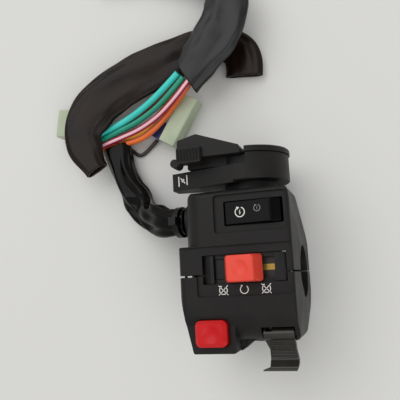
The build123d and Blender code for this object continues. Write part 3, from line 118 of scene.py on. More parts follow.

# %% [markdown]
# The cluster lies on a pale table top of matt laminate. One large square stands for it, 20 mm under
# the middle of the handlebar's bore, where the lowest pieces touch it. A perfectly even colour looks
# drawn, so the tone wanders a little over patches of about a third of a metre. It isn't part of
# the object.

# %% Floor
floor_z = -20.0 * MM
floor_half = 1.5
tone_patch = 1 / 3

floor_mesh = bpy.data.meshes.new("table_top")
corners = [(-floor_half, -floor_half), (floor_half, -floor_half), (floor_half, floor_half),
           (-floor_half, floor_half)]
floor_mesh.from_pydata([(x, y, floor_z) for x, y in corners], [], [(0, 1, 2, 3)])
floor = bpy.data.objects.new("table_top", floor_mesh)
bpy.context.scene.collection.objects.link(floor)

# Matt white laminate: pressed resin with a dull face, which gives the eye soft shadows and no mirror.
laminate_white, tree = new_material("matt_white_table_laminate")
wander = add(tree, "ShaderNodeTexNoise", {"Scale": 2 * floor_half / tone_patch, "Detail": 3.0})
tint = add(tree, "ShaderNodeValToRGB", links={"Fac": wander.outputs["Fac"]})
tint.color_ramp.elements[0].color = linear("#dadad8")
tint.color_ramp.elements[1].color = linear("#e2e2e0")
shader = add(tree, "ShaderNodeBsdfPrincipled", {"Roughness": 0.55, "Specular IOR Level": 0.3},
             {"Base Color": tint.outputs["Color"]})
finish_material(tree, shader)
floor_mesh.materials.append(laminate_white)
print("table top", 2 * floor_half, "m wide at", round(floor_z / MM, 1), "mm")

# %% [markdown]
# The light is that of a plain room. One large soft lamp above and to the left gives the main
# shadows, a weaker one to the lower right keeps them open, and a pale world fills the rest. Small
# lamps or the sun would draw hard shadows that a room like this doesn't have. The lamps stay at a
# level where a colour renders about as it is written.

# %% Lamps and world
def soft_lamp(name, place, aim, size, watts):
    """A square area lamp that points at a place."""
    data = bpy.data.lights.new(name, "AREA")
    data.size = size
    data.energy = watts
    lamp = bpy.data.objects.new(name, data)
    lamp.location = place
    lamp.rotation_euler = (Vector(aim) - Vector(place)).to_track_quat("-Z", "Y").to_euler()
    bpy.context.scene.collection.objects.link(lamp)
    return lamp


window_light = soft_lamp("window_light", place=(-0.5, 0.8, 1.3), aim=(-0.02, 0.03, 0.0), size=1.6,
                         watts=11.0)
fill_light = soft_lamp("fill_light", place=(0.7, -0.7, 1.1), aim=(0.0, 0.02, 0.0), size=1.4, watts=7.0)
world_strength = 0.62

world = bpy.data.worlds.new("pale_room")
world.use_nodes = True
bpy.context.scene.world = world
world_back = world.node_tree.nodes["Background"]
world_back.inputs["Color"].default_value = linear("#e6e5e3")
world_back.inputs["Strength"].default_value = world_strength
bpy.context.scene.view_settings.view_transform = "Standard"
print("lamps in watts", [lamp.data.energy for lamp in (window_light, fill_light)],
      "world strength", world_strength)

# %% [markdown]
# Most of the cluster is moulded plastic. A moulding copies the face of its steel mould, so grain
# and gloss differ from piece to piece while the make-up stays alike. One function therefore builds
# them all: a cell pattern in real size as a shallow bump, a slow change of tone and polish, as
# handling leaves it, and a Bevel node that rounds sharp CAD edges in the shading only. An image of
# the grain would have to be wrapped round every piece, and the pattern in object space does not.

# %% How a moulded plastic is built
handled_patch_mm = 9.0
patch_low, patch_high = 0.3, 0.7
polish_spread = 0.06
grain_strength = 0.6
plastic_ior = 1.5


def moulded_plastic(name, dark, light, roughness, grain_mm, grain_depth_mm, edge_mm=0.25, specular=0.4):
    """A moulded plastic with a fine grain, slight tone changes and rounded edges in the shading."""
    material, tree = new_material(name)
    place = add(tree, "ShaderNodeTexCoord")
    cells = add(tree, "ShaderNodeTexVoronoi", {"Scale": 1 / (grain_mm * MM)},
                {"Vector": place.outputs["Object"]})
    clouds = add(tree, "ShaderNodeTexNoise", {"Scale": 1 / (handled_patch_mm * MM), "Detail": 4.0},
                 {"Vector": place.outputs["Object"]})
    tone = add(tree, "ShaderNodeValToRGB", links={"Fac": clouds.outputs["Fac"]})
    tone.color_ramp.elements[0].position = patch_low
    tone.color_ramp.elements[0].color = linear(dark)
    tone.color_ramp.elements[1].position = patch_high
    tone.color_ramp.elements[1].color = linear(light)
    polish = add(tree, "ShaderNodeMapRange",
                 {"From Min": patch_low, "From Max": patch_high,
                  "To Min": roughness - polish_spread, "To Max": roughness + polish_spread},
                 {"Value": clouds.outputs["Fac"]})
    edge = add(tree, "ShaderNodeBevel", {"Radius": edge_mm * MM, "samples": 4})
    bump = add(tree, "ShaderNodeBump", {"Strength": grain_strength, "Distance": grain_depth_mm * MM},
               {"Height": cells.outputs["Distance"], "Normal": edge.outputs["Normal"]})
    shader = add(tree, "ShaderNodeBsdfPrincipled", {"IOR": plastic_ior, "Specular IOR Level": specular},
                 {"Base Color": tone.outputs["Color"], "Roughness": polish.outputs["Result"],
                  "Normal": bump.outputs["Normal"]})
    finish_material(tree, shader)
    return material


print("moulded plastics change tone over", handled_patch_mm, "mm")

# %% [markdown]
# Five of the plastics are on the switches and the choke. Cases like these are usually moulded in
# nylon against spark-eroded steel, whose fine pits make black look like charcoal. The keys are ABS
# from smoother moulds. The grain of the case is drawn at 0.32 mm, coarser than such pits usually
# are, because a pixel of the picture covers about 0.4 mm of the switch face. How strongly each
# plastic reflects was matched to the photograph.

# %% Plastics of the cases and the switches
# Grained nylon: the pits scatter the light, so the cases look dull and a little warm.
case_nylon = moulded_plastic("spark_grained_black_nylon", "#131111", "#1b1918", roughness=0.47,
                             grain_mm=0.32, grain_depth_mm=0.02, specular=0.25)
# Plain nylon from a smooth mould: darker and slicker than the cases, for pieces inside them.
inner_nylon = moulded_plastic("plain_black_nylon", "#0c0b0b", "#131212", roughness=0.36,
                              grain_mm=0.5, grain_depth_mm=0.01, specular=0.3)
# ABS from a polished mould: almost pure black, with small clear highlights.
polished_abs = moulded_plastic("polished_black_abs", "#040303", "#070606", roughness=0.12,
                               grain_mm=1.2, grain_depth_mm=0.003, edge_mm=0.35, specular=0.1)
# ABS from a satin mould: a soft grey sheen wherever a face leans towards the light.
satin_abs = moulded_plastic("satin_black_abs", "#1a1914", "#24221c", roughness=0.3,
                            grain_mm=0.8, grain_depth_mm=0.008, edge_mm=0.3, specular=0.6)
# Light red ABS: the pigment goes all through, so edges and dimple have the colour of the faces.
knob_red = moulded_plastic("light_red_moulded_abs", "#e44534", "#ec4f3e", roughness=0.38,
                           grain_mm=0.4, grain_depth_mm=0.008, edge_mm=0.12, specular=0.35)
# Red ABS: a deeper pigment with the same plain moulded face.
button_red = moulded_plastic("red_moulded_abs", "#c4090f", "#cd1318", roughness=0.36,
                             grain_mm=0.4, grain_depth_mm=0.008, edge_mm=0.12, specular=0.3)
switch_plastics = (case_nylon, inner_nylon, polished_abs, satin_abs, knob_red, button_red)
print("plastics of the cases and the switches", [plastic.name for plastic in switch_plastics])

# %% [markdown]
# The connectors and the cable grommet are plastics too. Connectors are moulded in nylon, often
# without pigment, and here that has a milky, slightly green look. Light goes a short way into it,
# which a subsurface shader could show, but the connectors are small and beside the main view, so a
# plain pale colour is enough and renders faster.

# %% Plastics of the loom
# Nylon without pigment: pale and milky, with a dull shine.
natural_nylon = moulded_plastic("natural_nylon", "#adba9d", "#bdc8ad", roughness=0.42,
                                grain_mm=0.8, grain_depth_mm=0.01)
# Nylon with a navy pigment: reads as black in the shade and blue where light falls on it.
navy_nylon = moulded_plastic("navy_nylon", "#232c5c", "#2c3668", roughness=0.4,
                             grain_mm=0.8, grain_depth_mm=0.01)
# Moulded rubber: matt, with wide faint highlights on its rounded edges.
grommet_rubber = moulded_plastic("moulded_black_rubber", "#141313", "#1b1a1a", roughness=0.6,
                                 grain_mm=0.6, grain_depth_mm=0.01, edge_mm=0.4, specular=0.3)
print("plastics of the loom", [plastic.name for plastic in (natural_nylon, navy_nylon, grommet_rubber)])

# %% [markdown]
# The metal parts are small: screws, pins, springs and contacts. A metal takes its colour from its
# reflections alone, so its shader is fully metallic and keeps the default IOR. Plating, drawing and
# stamping leave the shine slightly uneven, which is a fine noise in the roughness and in a very
# shallow bump. Rings from turning would be truer on a screw head, but they are too fine to see here.

# %% Metals
streak_low, streak_high = 0.3, 0.7
shine_below, shine_above = 0.08, 0.1
streak_depth_mm = 0.01


def worked_metal(name, base, roughness, streak_mm):
    """A bare or plated metal with a fine unevenness from how it was worked."""
    material, tree = new_material(name)
    place = add(tree, "ShaderNodeTexCoord")
    streaks = add(tree, "ShaderNodeTexNoise", {"Scale": 1 / (streak_mm * MM), "Detail": 5.0},
                  {"Vector": place.outputs["Object"]})
    shine = add(tree, "ShaderNodeMapRange",
                {"From Min": streak_low, "From Max": streak_high,
                 "To Min": roughness - shine_below, "To Max": roughness + shine_above},
                {"Value": streaks.outputs["Fac"]})
    bump = add(tree, "ShaderNodeBump", {"Strength": 0.2, "Distance": streak_depth_mm * MM},
               {"Height": streaks.outputs["Fac"]})
    shader = add(tree, "ShaderNodeBsdfPrincipled", {"Base Color": linear(base), "Metallic": 1.0},
                 {"Roughness": shine.outputs["Result"], "Normal": bump.outputs["Normal"]})
    finish_material(tree, shader)
    return material


# Zinc-plated steel: pale grey, and its reflections are a little blurred.
zinc_plate = worked_metal("zinc_plated_steel", "#b9b8b0", roughness=0.32, streak_mm=0.8)
# Hard-drawn steel wire: mid grey with a bright line along each turn.
spring_wire = worked_metal("hard_drawn_spring_wire", "#8d8d8f", roughness=0.3, streak_mm=0.3)
# Steel blackened in oil: so dark that a pin hardly shows between black plastics.
oiled_steel = worked_metal("oil_blackened_steel", "#2b2a29", roughness=0.4, streak_mm=0.8)
# Stamped brass: a warm yellow that is clear only where light reaches the contacts.
stamped_brass = worked_metal("stamped_brass", "#b3924a", roughness=0.3, streak_mm=0.6)
print("metals", [metal.name for metal in (zinc_plate, spring_wire, oiled_steel, stamped_brass)])

# %% [markdown]
# The plates that carry the contacts are paper laminate: sheets of paper pressed in dark brown
# resin. What the eye gets is a glossy brown with faint fibres in one direction. A noise that is
# squeezed across the fibres gives that, and a cut edge needs no second material at this size.

# %% Paper laminate
fibre_mm, fibre_squeeze = 1.5, 6.0

# Brown paper laminate: resin gloss over a streaky brown.
laminate_brown, tree = new_material("brown_paper_laminate")
place = add(tree, "ShaderNodeTexCoord")
stretch = add(tree, "ShaderNodeMapping", {"Scale": (1.0, fibre_squeeze, 1.0)},
              {"Vector": place.outputs["Object"]})
fibres = add(tree, "ShaderNodeTexNoise", {"Scale": 1 / (fibre_mm * MM), "Detail": 4.0},
             {"Vector": stretch.outputs["Vector"]})
tone = add(tree, "ShaderNodeValToRGB", links={"Fac": fibres.outputs["Fac"]})
tone.color_ramp.elements[0].color = linear("#1d1612")
tone.color_ramp.elements[1].color = linear("#33261c")
shader = add(tree, "ShaderNodeBsdfPrincipled", {"Roughness": 0.35}, {"Base Color": tone.outputs["Color"]})
finish_material(tree, shader)
print("paper fibres", fibre_mm, "mm long and", fibre_mm / fibre_squeeze, "mm wide")

# %% [markdown]
# Every CAD part that stays visible now gets its finish. A material could be given to each part in a
# cell of its own, but a table of finishes with their parts shows at a glance what is made of what,
# and one loop puts them into the parts' material slots.

# %% Give every CAD part its finish
finishes = {
    case_nylon: ["upper_case", "lower_case", "choke_housing", "choke_lid", "choke_lever"],
    inner_nylon: ["stop_switch_slider", "stop_switch_guide_frame", "choke_cable_drum", "harness_tie"],
    polished_abs: ["starter_rocker"],
    satin_abs: ["trigger_lever"],
    knob_red: ["stop_switch_knob"],
    button_red: ["horn_button"],
    grommet_rubber: ["harness_grommet"],
    natural_nylon: ["connector_left", "connector_right", "connector_end"],
    navy_nylon: ["connector_small"],
    zinc_plate: ["front_clamp_screw", "rear_clamp_screw", "switch_plate_screws", "choke_pivot_screw",
                 "choke_mounting_screws"],
    oiled_steel: ["starter_rocker_pin", "trigger_pin"],
    spring_wire: ["stop_switch_detent_ball", "stop_switch_detent_spring", "starter_rocker_spring",
                  "horn_return_spring", "trigger_spring", "choke_spring_washer"],
    stamped_brass: ["stop_switch_bridge_contact", "stop_switch_fixed_contacts", "starter_contact_bridge",
                    "starter_rivets", "horn_contact_disc", "horn_rivets", "trigger_contact_strip",
                    "trigger_rivets"],
    laminate_brown: ["stop_switch_base_plate", "starter_base_plate", "horn_base_plate",
                     "trigger_base_plate"],
}
for material, names in finishes.items():
    for name in names:
        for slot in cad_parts[name].material_slots:
            slot.material = material
print("finishes given to", sum(len(names) for names in finishes.values()), "CAD parts")

# %% [markdown]
# Sleeves and wires hang and lie in smooth bends. Each follows a NURBS line whose control points are
# the route points of its CAD tube, with a few points near the ends moved by up to 3 mm. Such a line
# cuts inside its corners, as a soft cord does. It could be bevelled into a tube at once, but a
# sleeve changes its section along the way, so the points of the line are read and a mesh is built
# round them.

# %% Follow a smooth line
def smooth_line(points_mm, steps=24):
    """Points along a quadratic NURBS line whose control points are given in millimetres."""
    data = bpy.data.curves.new("route", "CURVE")
    data.dimensions = "3D"
    data.resolution_u = steps
    spline = data.splines.new("NURBS")
    spline.points.add(len(points_mm) - 1)
    for point, (x, y, z) in zip(spline.points, points_mm):
        point.co = (x * MM, y * MM, z * MM, 1.0)
    spline.order_u = 3
    spline.use_endpoint_u = True
    holder = bpy.data.objects.new("route", data)
    mesh = bpy.data.meshes.new_from_object(holder)
    line = [vertex.co.copy() for vertex in mesh.vertices]
    bpy.data.objects.remove(holder)
    bpy.data.curves.remove(data)
    bpy.data.meshes.remove(mesh)
    return line


def line_length(line):
    """Length of a line of points."""
    return sum((b - a).length for a, b in zip(line, line[1:]))


corner_line = smooth_line([(0, 0, 0), (10, 0, 0), (10, 10, 0)])
print("a corner between two runs of 10 mm becomes", round(line_length(corner_line) / MM, 1), "mm of line")

# %% [markdown]
# A tube is built from rings at even steps along its line. For each ring the script needs its place,
# the direction of the line there and two axes across it, one of them level. A curve's own bevel
# could lay rings too, but it turns them with the curve, and a flat sleeve has to stay level.

# %% Step along a line
def at_distance(line, distances):
    """Points of the line at given distances from its start."""
    found = []
    walked, index = 0.0, 0
    for distance in distances:
        while index < len(line) - 2 and walked + (line[index + 1] - line[index]).length < distance:
            walked += (line[index + 1] - line[index]).length
            index += 1
        step = line[index + 1] - line[index]
        found.append(line[index] + step * ((distance - walked) / max(step.length, 1e-9)))
    return found


def stations(line, step_mm):
    """Distance, centre and direction at even steps along a line."""
    length = line_length(line)
    count = int(length / (step_mm * MM))
    distances = [length * i / count for i in range(count + 1)]
    centres = at_distance(line, distances)
    directions = [(centres[min(i + 1, count)] - centres[max(i - 1, 0)]).normalized()
                  for i in range(count + 1)]
    return list(zip(distances, centres, directions))


def level_axes(direction):
    """Two axes across a direction: a level one and the one that rises from it."""
    side = direction.cross(Vector((0, 0, 1))).normalized()
    return side, side.cross(direction)


def circle(count):
    """Cosine and sine of even steps round a circle."""
    return [(math.cos(2 * math.pi * k / count), math.sin(2 * math.pi * k / count)) for k in range(count)]


print("the same corner has", len(stations(corner_line, 1.0)), "stations at steps of about 1 mm")

# %% [markdown]
# The sleeves are soft PVC tubes, flattened and creased. A cloth simulation could crease a tube, but
# it takes long and its folds are hard to steer. Here the section is a rounded flat shape, pushed in
# and out by noise: some of it is stretched along the sleeve, as long creases are, and some goes
# across it, as dents are. No point goes below the table.

# %% Shape one ring of a sleeve
edge_power, face_power = 0.8, 0.9
crease_turns, dent_turns, dent_share = 2.2, 1.1, 0.7
dent_seed_step = 3
table_gap = 0.02 * MM


def fold_height(along_mm, c, s, seed, stretch):
    """Height of the creases and dents at one place of a sleeve, as a share of the fold depth."""
    creases = noise.noise(Vector((along_mm * stretch[0], crease_turns * c + seed, crease_turns * s)))
    dents = noise.noise(Vector((along_mm * stretch[1], dent_turns * c,
                                dent_turns * s + dent_seed_step * seed)))
    return creases + dent_share * dents


def sleeve_ring(centre, direction, roll, half_width, half_thickness, folds, lean, wall):
    """One ring of points round a flattened sleeve, or round its inside where a wall is given."""
    side, rise = level_axes(direction)
    side, rise = (side * math.cos(roll) + rise * math.sin(roll),
                  rise * math.cos(roll) - side * math.sin(roll))
    ring = []
    for (c, s), fold in zip(circle(len(folds)), folds):
        flat_c = math.copysign(abs(c) ** edge_power, c)
        flat_s = math.copysign(abs(s) ** face_power, s)
        outward = (side * c * half_thickness + rise * s * half_width).normalized()
        point = centre + side * flat_c * (half_width - wall) + rise * flat_s * (half_thickness - wall)
        point += outward * fold
        point -= direction * (lean * c)
        point.z = max(point.z, floor_z + table_gap)
        ring.append(point)
    return ring


print("at one place the folds are", round(fold_height(10.0, 1.0, 0.0, 4.3, (0.05, 0.085)), 2),
      "of their depth")

# %% [markdown]
# Rings become a mesh with a band of faces between each two. The same two helpers serve the sleeves,
# the wires and the ribs of the trigger. A band can be flipped, so that the inside of a sleeve's
# mouth faces inward.

# %% Join rings into a mesh
def add_band(builder, one, other, flip=False):
    """Faces between two rings of vertices, in their order round the ring."""
    faces = []
    for k in range(len(one)):
        after = (k + 1) % len(one)
        around = (one[k], one[after], other[after], other[k])
        faces.append(builder.faces.new(around[::-1] if flip else around))
    return faces


def add_skin(builder, rings, flip=False):
    """A tube of faces through a row of rings, and the vertices of each ring."""
    rows = [[builder.verts.new(point) for point in ring] for ring in rings]
    for one, other in zip(rows, rows[1:]):
        add_band(builder, one, other, flip)
    return rows


def new_piece(name, builder, material):
    """An object with a material, made from a finished mesh builder and put into the scene."""
    mesh = bpy.data.meshes.new(name)
    builder.to_mesh(mesh)
    builder.free()
    mesh.materials.append(material)
    piece = bpy.data.objects.new(name, mesh)
    bpy.context.scene.collection.objects.link(piece)
    return piece


print("a band between rings of", len(circle(8)), "points has as many faces")

# %% [markdown]
# A sleeve changes along its way: narrow and pinched where it leaves the housing, wide and flat on
# the table. Its width, thickness, roll and fold depth are therefore short tables of share and value,
# blended smoothly. Both ends are open. There the mesh has a real wall and an inside that goes some
# way in, because an open end shows the thickness of the tube at once.

# %% Build a sleeve ring by ring
sleeve_step_mm = 0.8
sleeve_wall_mm = 0.8
mouth_depth_mm = 14.0
slant_reach_mm = 22.0


def blend_table(table, share):
    """A value that runs smoothly between the pairs of share and value in a table."""
    for (s0, v0), (s1, v1) in zip(table, table[1:]):
        if share <= s1:
            t = (share - s0) / (s1 - s0)
            t = t * t * (3 - 2 * t)
            return v0 + (v1 - v0) * t
    return table[-1][1]


def sleeve_mesh(name, finish, rings, inner_rings):
    """A closed mesh from the rings of a sleeve's outside and those of its inside."""
    builder = bmesh.new()
    deep = int(mouth_depth_mm / sleeve_step_mm)
    outer = add_skin(builder, rings)
    start = add_skin(builder, inner_rings[:deep], flip=True)
    end = add_skin(builder, inner_rings[-deep:], flip=True)
    add_band(builder, outer[0], start[0], flip=True)
    add_band(builder, outer[-1], end[-1])
    builder.faces.new(start[-1])
    builder.faces.new(end[0][::-1])
    for face in builder.faces:
        face.smooth = True
    bmesh.ops.recalc_face_normals(builder, faces=builder.faces)
    return new_piece(name, builder, finish)


def soft_sleeve(name, finish, points_mm, width_mm, thick_mm, roll_deg, fold_mm, seed, fold_stretch,
                around=56, slant_mm=0.0):
    """A folded, flattened sleeve and the line it follows. The tables run along its length."""
    line = smooth_line(points_mm)
    places = stations(line, sleeve_step_mm)
    rings, inner_rings = [], []
    for i, (distance, centre, direction) in enumerate(places):
        share = i / (len(places) - 1)
        roll = math.radians(blend_table(roll_deg, share))
        half_width = blend_table(width_mm, share) / 2 * MM
        half_thickness = blend_table(thick_mm, share) / 2 * MM
        depth = blend_table(fold_mm, share) * MM
        folds = [depth * fold_height(distance / MM, c, s, seed, fold_stretch) for c, s in circle(around)]
        lean = slant_mm * MM * max(0.0, 1 - distance / (slant_reach_mm * MM))
        for wall, target in ((0.0, rings), (sleeve_wall_mm * MM, inner_rings)):
            target.append(sleeve_ring(centre, direction, roll, half_width, half_thickness, folds, lean,
                                      wall))
    sleeve = sleeve_mesh(name, finish, rings, inner_rings)
    print(name, "length in mm", round(line_length(line) / MM, 1), "faces", len(sleeve.data.polygons))
    return sleeve, line


print("a sleeve's wall is", sleeve_wall_mm, "mm and its open end goes", mouth_depth_mm, "mm in")

# %% [markdown]
# Soft PVC is smooth but never even. Its sheen breaks over small dents, and plasticiser that comes
# to the surface leaves cloudy patches, so tone and roughness both follow a slow noise. One glossy
# black would be quicker, but it makes a tube look like a painted pipe. In the photograph the three
# sleeves read as three slightly different blacks, so each has one of its own. The grey of the branch
# sleeve is partly a painted sheen: its black base colour is lightened to stand in for light on it.

# %% Soft PVC
pvc_patch_mm, pvc_dent_mm, pvc_dent_depth_mm = 14.0, 3.5, 0.25
cloud_low, cloud_high = 0.35, 0.65
soft_pvc_ior = 1.53


def soft_pvc(name, dark, light, roughness, specular):
    """Extruded soft PVC with a cloudy sheen and small dents."""
    material, tree = new_material(name)
    place = add(tree, "ShaderNodeTexCoord")
    clouds = add(tree, "ShaderNodeTexNoise", {"Scale": 1 / (pvc_patch_mm * MM), "Detail": 3.0},
                 {"Vector": place.outputs["Object"]})
    dents = add(tree, "ShaderNodeTexNoise", {"Scale": 1 / (pvc_dent_mm * MM), "Detail": 2.0},
                {"Vector": place.outputs["Object"]})
    tone = add(tree, "ShaderNodeValToRGB", links={"Fac": clouds.outputs["Fac"]})
    tone.color_ramp.elements[0].position = cloud_low
    tone.color_ramp.elements[0].color = linear(dark)
    tone.color_ramp.elements[1].position = cloud_high
    tone.color_ramp.elements[1].color = linear(light)
    sheen = add(tree, "ShaderNodeMapRange",
                {"From Min": patch_low, "From Max": patch_high,
                 "To Min": roughness - shine_below, "To Max": roughness + shine_above},
                {"Value": clouds.outputs["Fac"]})
    bump = add(tree, "ShaderNodeBump", {"Strength": 0.35, "Distance": pvc_dent_depth_mm * MM},
               {"Height": dents.outputs["Fac"]})
    shader = add(tree, "ShaderNodeBsdfPrincipled", {"IOR": soft_pvc_ior, "Specular IOR Level": specular},
                 {"Base Color": tone.outputs["Color"], "Roughness": sheen.outputs["Result"],
                  "Normal": bump.outputs["Normal"]})
    finish_material(tree, shader)
    return material


# The sleeve at the outlet: nearly pure black, with narrow highlights on its folds.
outlet_pvc = soft_pvc("black_soft_pvc_outlet", "#030202", "#080605", roughness=0.2, specular=0.14)
# The wide sleeve: a brownish black with a broad soft sheen.
sleeve_pvc = soft_pvc("black_soft_pvc_sleeve", "#110a07", "#20150f", roughness=0.3, specular=0.2)
# The branch sleeve: black lightened to a grey base colour that is a painted sheen, and the lightest of the
# three.
branch_pvc_painted_sheen = soft_pvc("black_soft_pvc_branch_painted_sheen", "#131314", "#1f2022", roughness=0.34, specular=0.34)
print("soft PVC", [pvc.name for pvc in (outlet_pvc, sleeve_pvc, branch_pvc_painted_sheen)])

# %% [markdown]
# The first sleeve leaves the housing through the grommet and drops to the table. It starts round,
# as the grommet holds it, and gets flatter and creased further down. Of the three sleeves it has the
# deepest folds and rolls the most from side to side, as its two tables for these say.

# %% The sleeve that leaves the housing
sleeve_a_points = [
    (-24.6, 24.7, 5.0), (-34.6, 24.8, 3.4), (-44.0, 28.0, -3.6), (-52.2, 34.4, -10.2),
    (-59.0, 43.2, -14.0), (-64.6, 55.6, -14.2), (-67.8, 69.0, -14.0),
]
sleeve_a, line = soft_sleeve(
    "sleeve_from_housing", outlet_pvc, sleeve_a_points,
    width_mm=[(0, 11.5), (0.1, 12.5), (0.25, 15.0), (0.45, 13.0), (0.6, 14.5), (0.8, 13.5), (1, 15.0)],
    thick_mm=[(0, 11.5), (0.1, 11.0), (0.3, 9.0), (0.5, 9.5), (0.8, 9.5), (1, 8.0)],
    roll_deg=[(0, 0), (0.3, 25), (0.5, -10), (0.7, 15), (1, 0)],
    fold_mm=[(0, 0.2), (0.12, 1.7), (0.35, 2.0), (0.6, 1.8), (0.85, 1.3), (1, 0.6)],
    seed=4.3, fold_stretch=(0.05, 0.085))
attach(sleeve_a, "housing")
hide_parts("harness_sleeve_a")

# %% [markdown]
# The second sleeve is the widest. It lies over the end of the first one and loops up and to the
# right. Its line keeps to one slanting plane, high on the left, where it lies on other pieces, and
# low on the right, where it lies on the table, so only the plan is written and the height is
# worked out from the plane.

# %% The wide sleeve that loops over it
plane_left_x, plane_left_z = -86.0, -4.6
plane_right_x, plane_right_z = 8.0, -17.0
plane_slope = (plane_right_z - plane_left_z) / (plane_right_x - plane_left_x)
sleeve_c_plan = [
    (-75.2, 56.0), (-81.6, 66.4), (-83.0, 78.6), (-75.6, 90.0), (-63.4, 98.6), (-48.4, 105.0),
    (-31.0, 111.6), (-15.6, 115.6), (-4.6, 114.4), (2.4, 107.0), (1.4, 97.0),
]
sleeve_c_points = [(x, y, plane_left_z + plane_slope * (x - plane_left_x)) for x, y in sleeve_c_plan]
sleeve_c, line = soft_sleeve(
    "wide_looping_sleeve", sleeve_pvc, sleeve_c_points,
    width_mm=[(0, 12.0), (0.12, 19.0), (0.28, 25.0), (0.5, 24.0), (0.7, 20.0), (0.85, 18.0), (1, 18.5)],
    thick_mm=[(0, 6.5), (0.15, 6.0), (0.5, 5.2), (0.8, 4.6), (1, 4.0)],
    roll_deg=[(0, -8), (0.3, -4), (0.6, -6), (1, 0)],
    fold_mm=[(0, 0.5), (0.3, 0.9), (0.6, 0.8), (0.8, 1.1), (1, 0.5)],
    seed=9.1, fold_stretch=(0.035, 0.09), around=72)
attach(sleeve_c, "housing")
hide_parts("harness_sleeve_c")

# %% [markdown]
# The third sleeve takes up the loose wires. It rises over the wide one, turns to the left beyond
# the upper edge of the picture and ends at a connector there. Its mouth is cut at a slant, which is
# made by leaning the first rings, less and less with their distance from the mouth. The connector
# is a CAD part.

# %% The branch sleeve that rises over the wide one
sleeve_b_points = [
    (-24.6, 96.6, -5.0), (-16.9, 105.4, -3.4), (-8.6, 114.6, -3.0), (-2.6, 124.6, -3.6),
    (-2.2, 136.4, -4.8), (-7.4, 147.2, -6.4), (-17.4, 154.6, -8.8), (-29.6, 158.4, -11.8),
    (-41.8, 161.6, -14.4), (-53.6, 164.0, -15.8),
]
sleeve_b, line = soft_sleeve(
    "branch_sleeve", branch_pvc_painted_sheen, sleeve_b_points,
    width_mm=[(0, 17.5), (0.1, 20.5), (0.22, 24.0), (0.35, 22.0), (0.5, 18.0), (0.8, 17.0), (1, 15.0)],
    thick_mm=[(0, 7.0), (0.2, 6.4), (0.5, 6.0), (1, 6.0)],
    roll_deg=[(0, 0), (1, 0)],
    fold_mm=[(0, 0.3), (0.1, 0.8), (0.3, 1.1), (0.6, 0.8), (0.8, 0.5), (1, 0.3)],
    seed=2.7, fold_stretch=(0.045, 0.12), around=72, slant_mm=3.5)
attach(sleeve_b, "housing")
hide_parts("harness_sleeve_b")

# %% [markdown]
# Six coloured wires run to the mouth of the branch sleeve. Five come from the wide sleeve, and the
# brown one from the left connector. A thin dark lead ends at the small connector. Where they lie is
# judged from the picture, and their heights from which wire lies on which, so each route is
# a short list of points. Two shades of its colour belong to each wire, and one has a paler stripe.

# %% Routes and colours of the wires
wire_points = {
    "turquoise": [(-77.0, 75.6, -10.1), (-65.0, 79.0, -10.0), (-52.8, 84.0, -8.6),
                  (-40.0, 91.2, -6.4), (-29.0, 99.2, -3.7)],
    "green": [(-77.0, 72.4, -11.0), (-66.0, 75.6, -10.2), (-52.2, 79.4, -8.8),
              (-37.6, 87.0, -6.4), (-26.3, 96.8, -3.7)],
    "brown": [(-80.9, 83.3, -16.0), (-73.2, 80.6, -15.2), (-63.4, 80.4, -13.6),
              (-51.6, 84.6, -11.9), (-38.4, 91.6, -9.2), (-27.9, 98.3, -6.6)],
    "crimson": [(-77.0, 69.5, -11.6), (-65.5, 72.2, -10.6), (-50.4, 75.6, -9.0),
                (-35.2, 83.6, -6.2), (-23.7, 94.6, -3.7)],
    "orange": [(-77.0, 69.2, -14.8), (-65.5, 69.8, -13.6), (-50.2, 70.8, -11.6),
               (-35.6, 82.2, -9.6), (-24.2, 94.2, -7.0)],
    "yellow": [(-77.0, 72.2, -14.3), (-65.4, 73.2, -14.0), (-52.0, 73.9, -12.2),
               (-38.4, 85.0, -9.8), (-26.6, 96.6, -7.2)],
    "lead": [(-76.0, 72.4, -18.9), (-68.6, 71.2, -18.9), (-61.4, 67.8, -18.9), (-57.0, 63.4, -18.9),
             (-51.6, 66.8, -18.9), (-46.8, 70.8, -18.0)],
}
wire_colours = {"turquoise": ("#2fcdc4", "#48d8cf", None), "green": ("#0f8f74", "#159c80", None),
                "brown": ("#98391f", "#a84628", None), "crimson": ("#a81f45", "#b52c52", "#f2c3cd"),
                "orange": ("#ee6a26", "#f57832", None), "yellow": ("#f0ab30", "#f6bb44", None),
                "lead": ("#2a2322", "#352c2a", None)}
print("wires", len(wire_points), "of which striped", sum(bool(c[2]) for c in wire_colours.values()))

# %% [markdown]
# Wire insulation is PVC, extruded over the copper. It comes out round and glossy, with a full, even
# colour. A stripe is a line of paler PVC along one side. A pattern in object space couldn't follow
# the bends, so the tube carries a UV map that says how far round the wire a place is, and the
# stripe is a band of that turn.

# %% Wire insulation
wire_patch_mm = 5.0
stripe_turn, stripe_half_turn = 0.21, 0.075


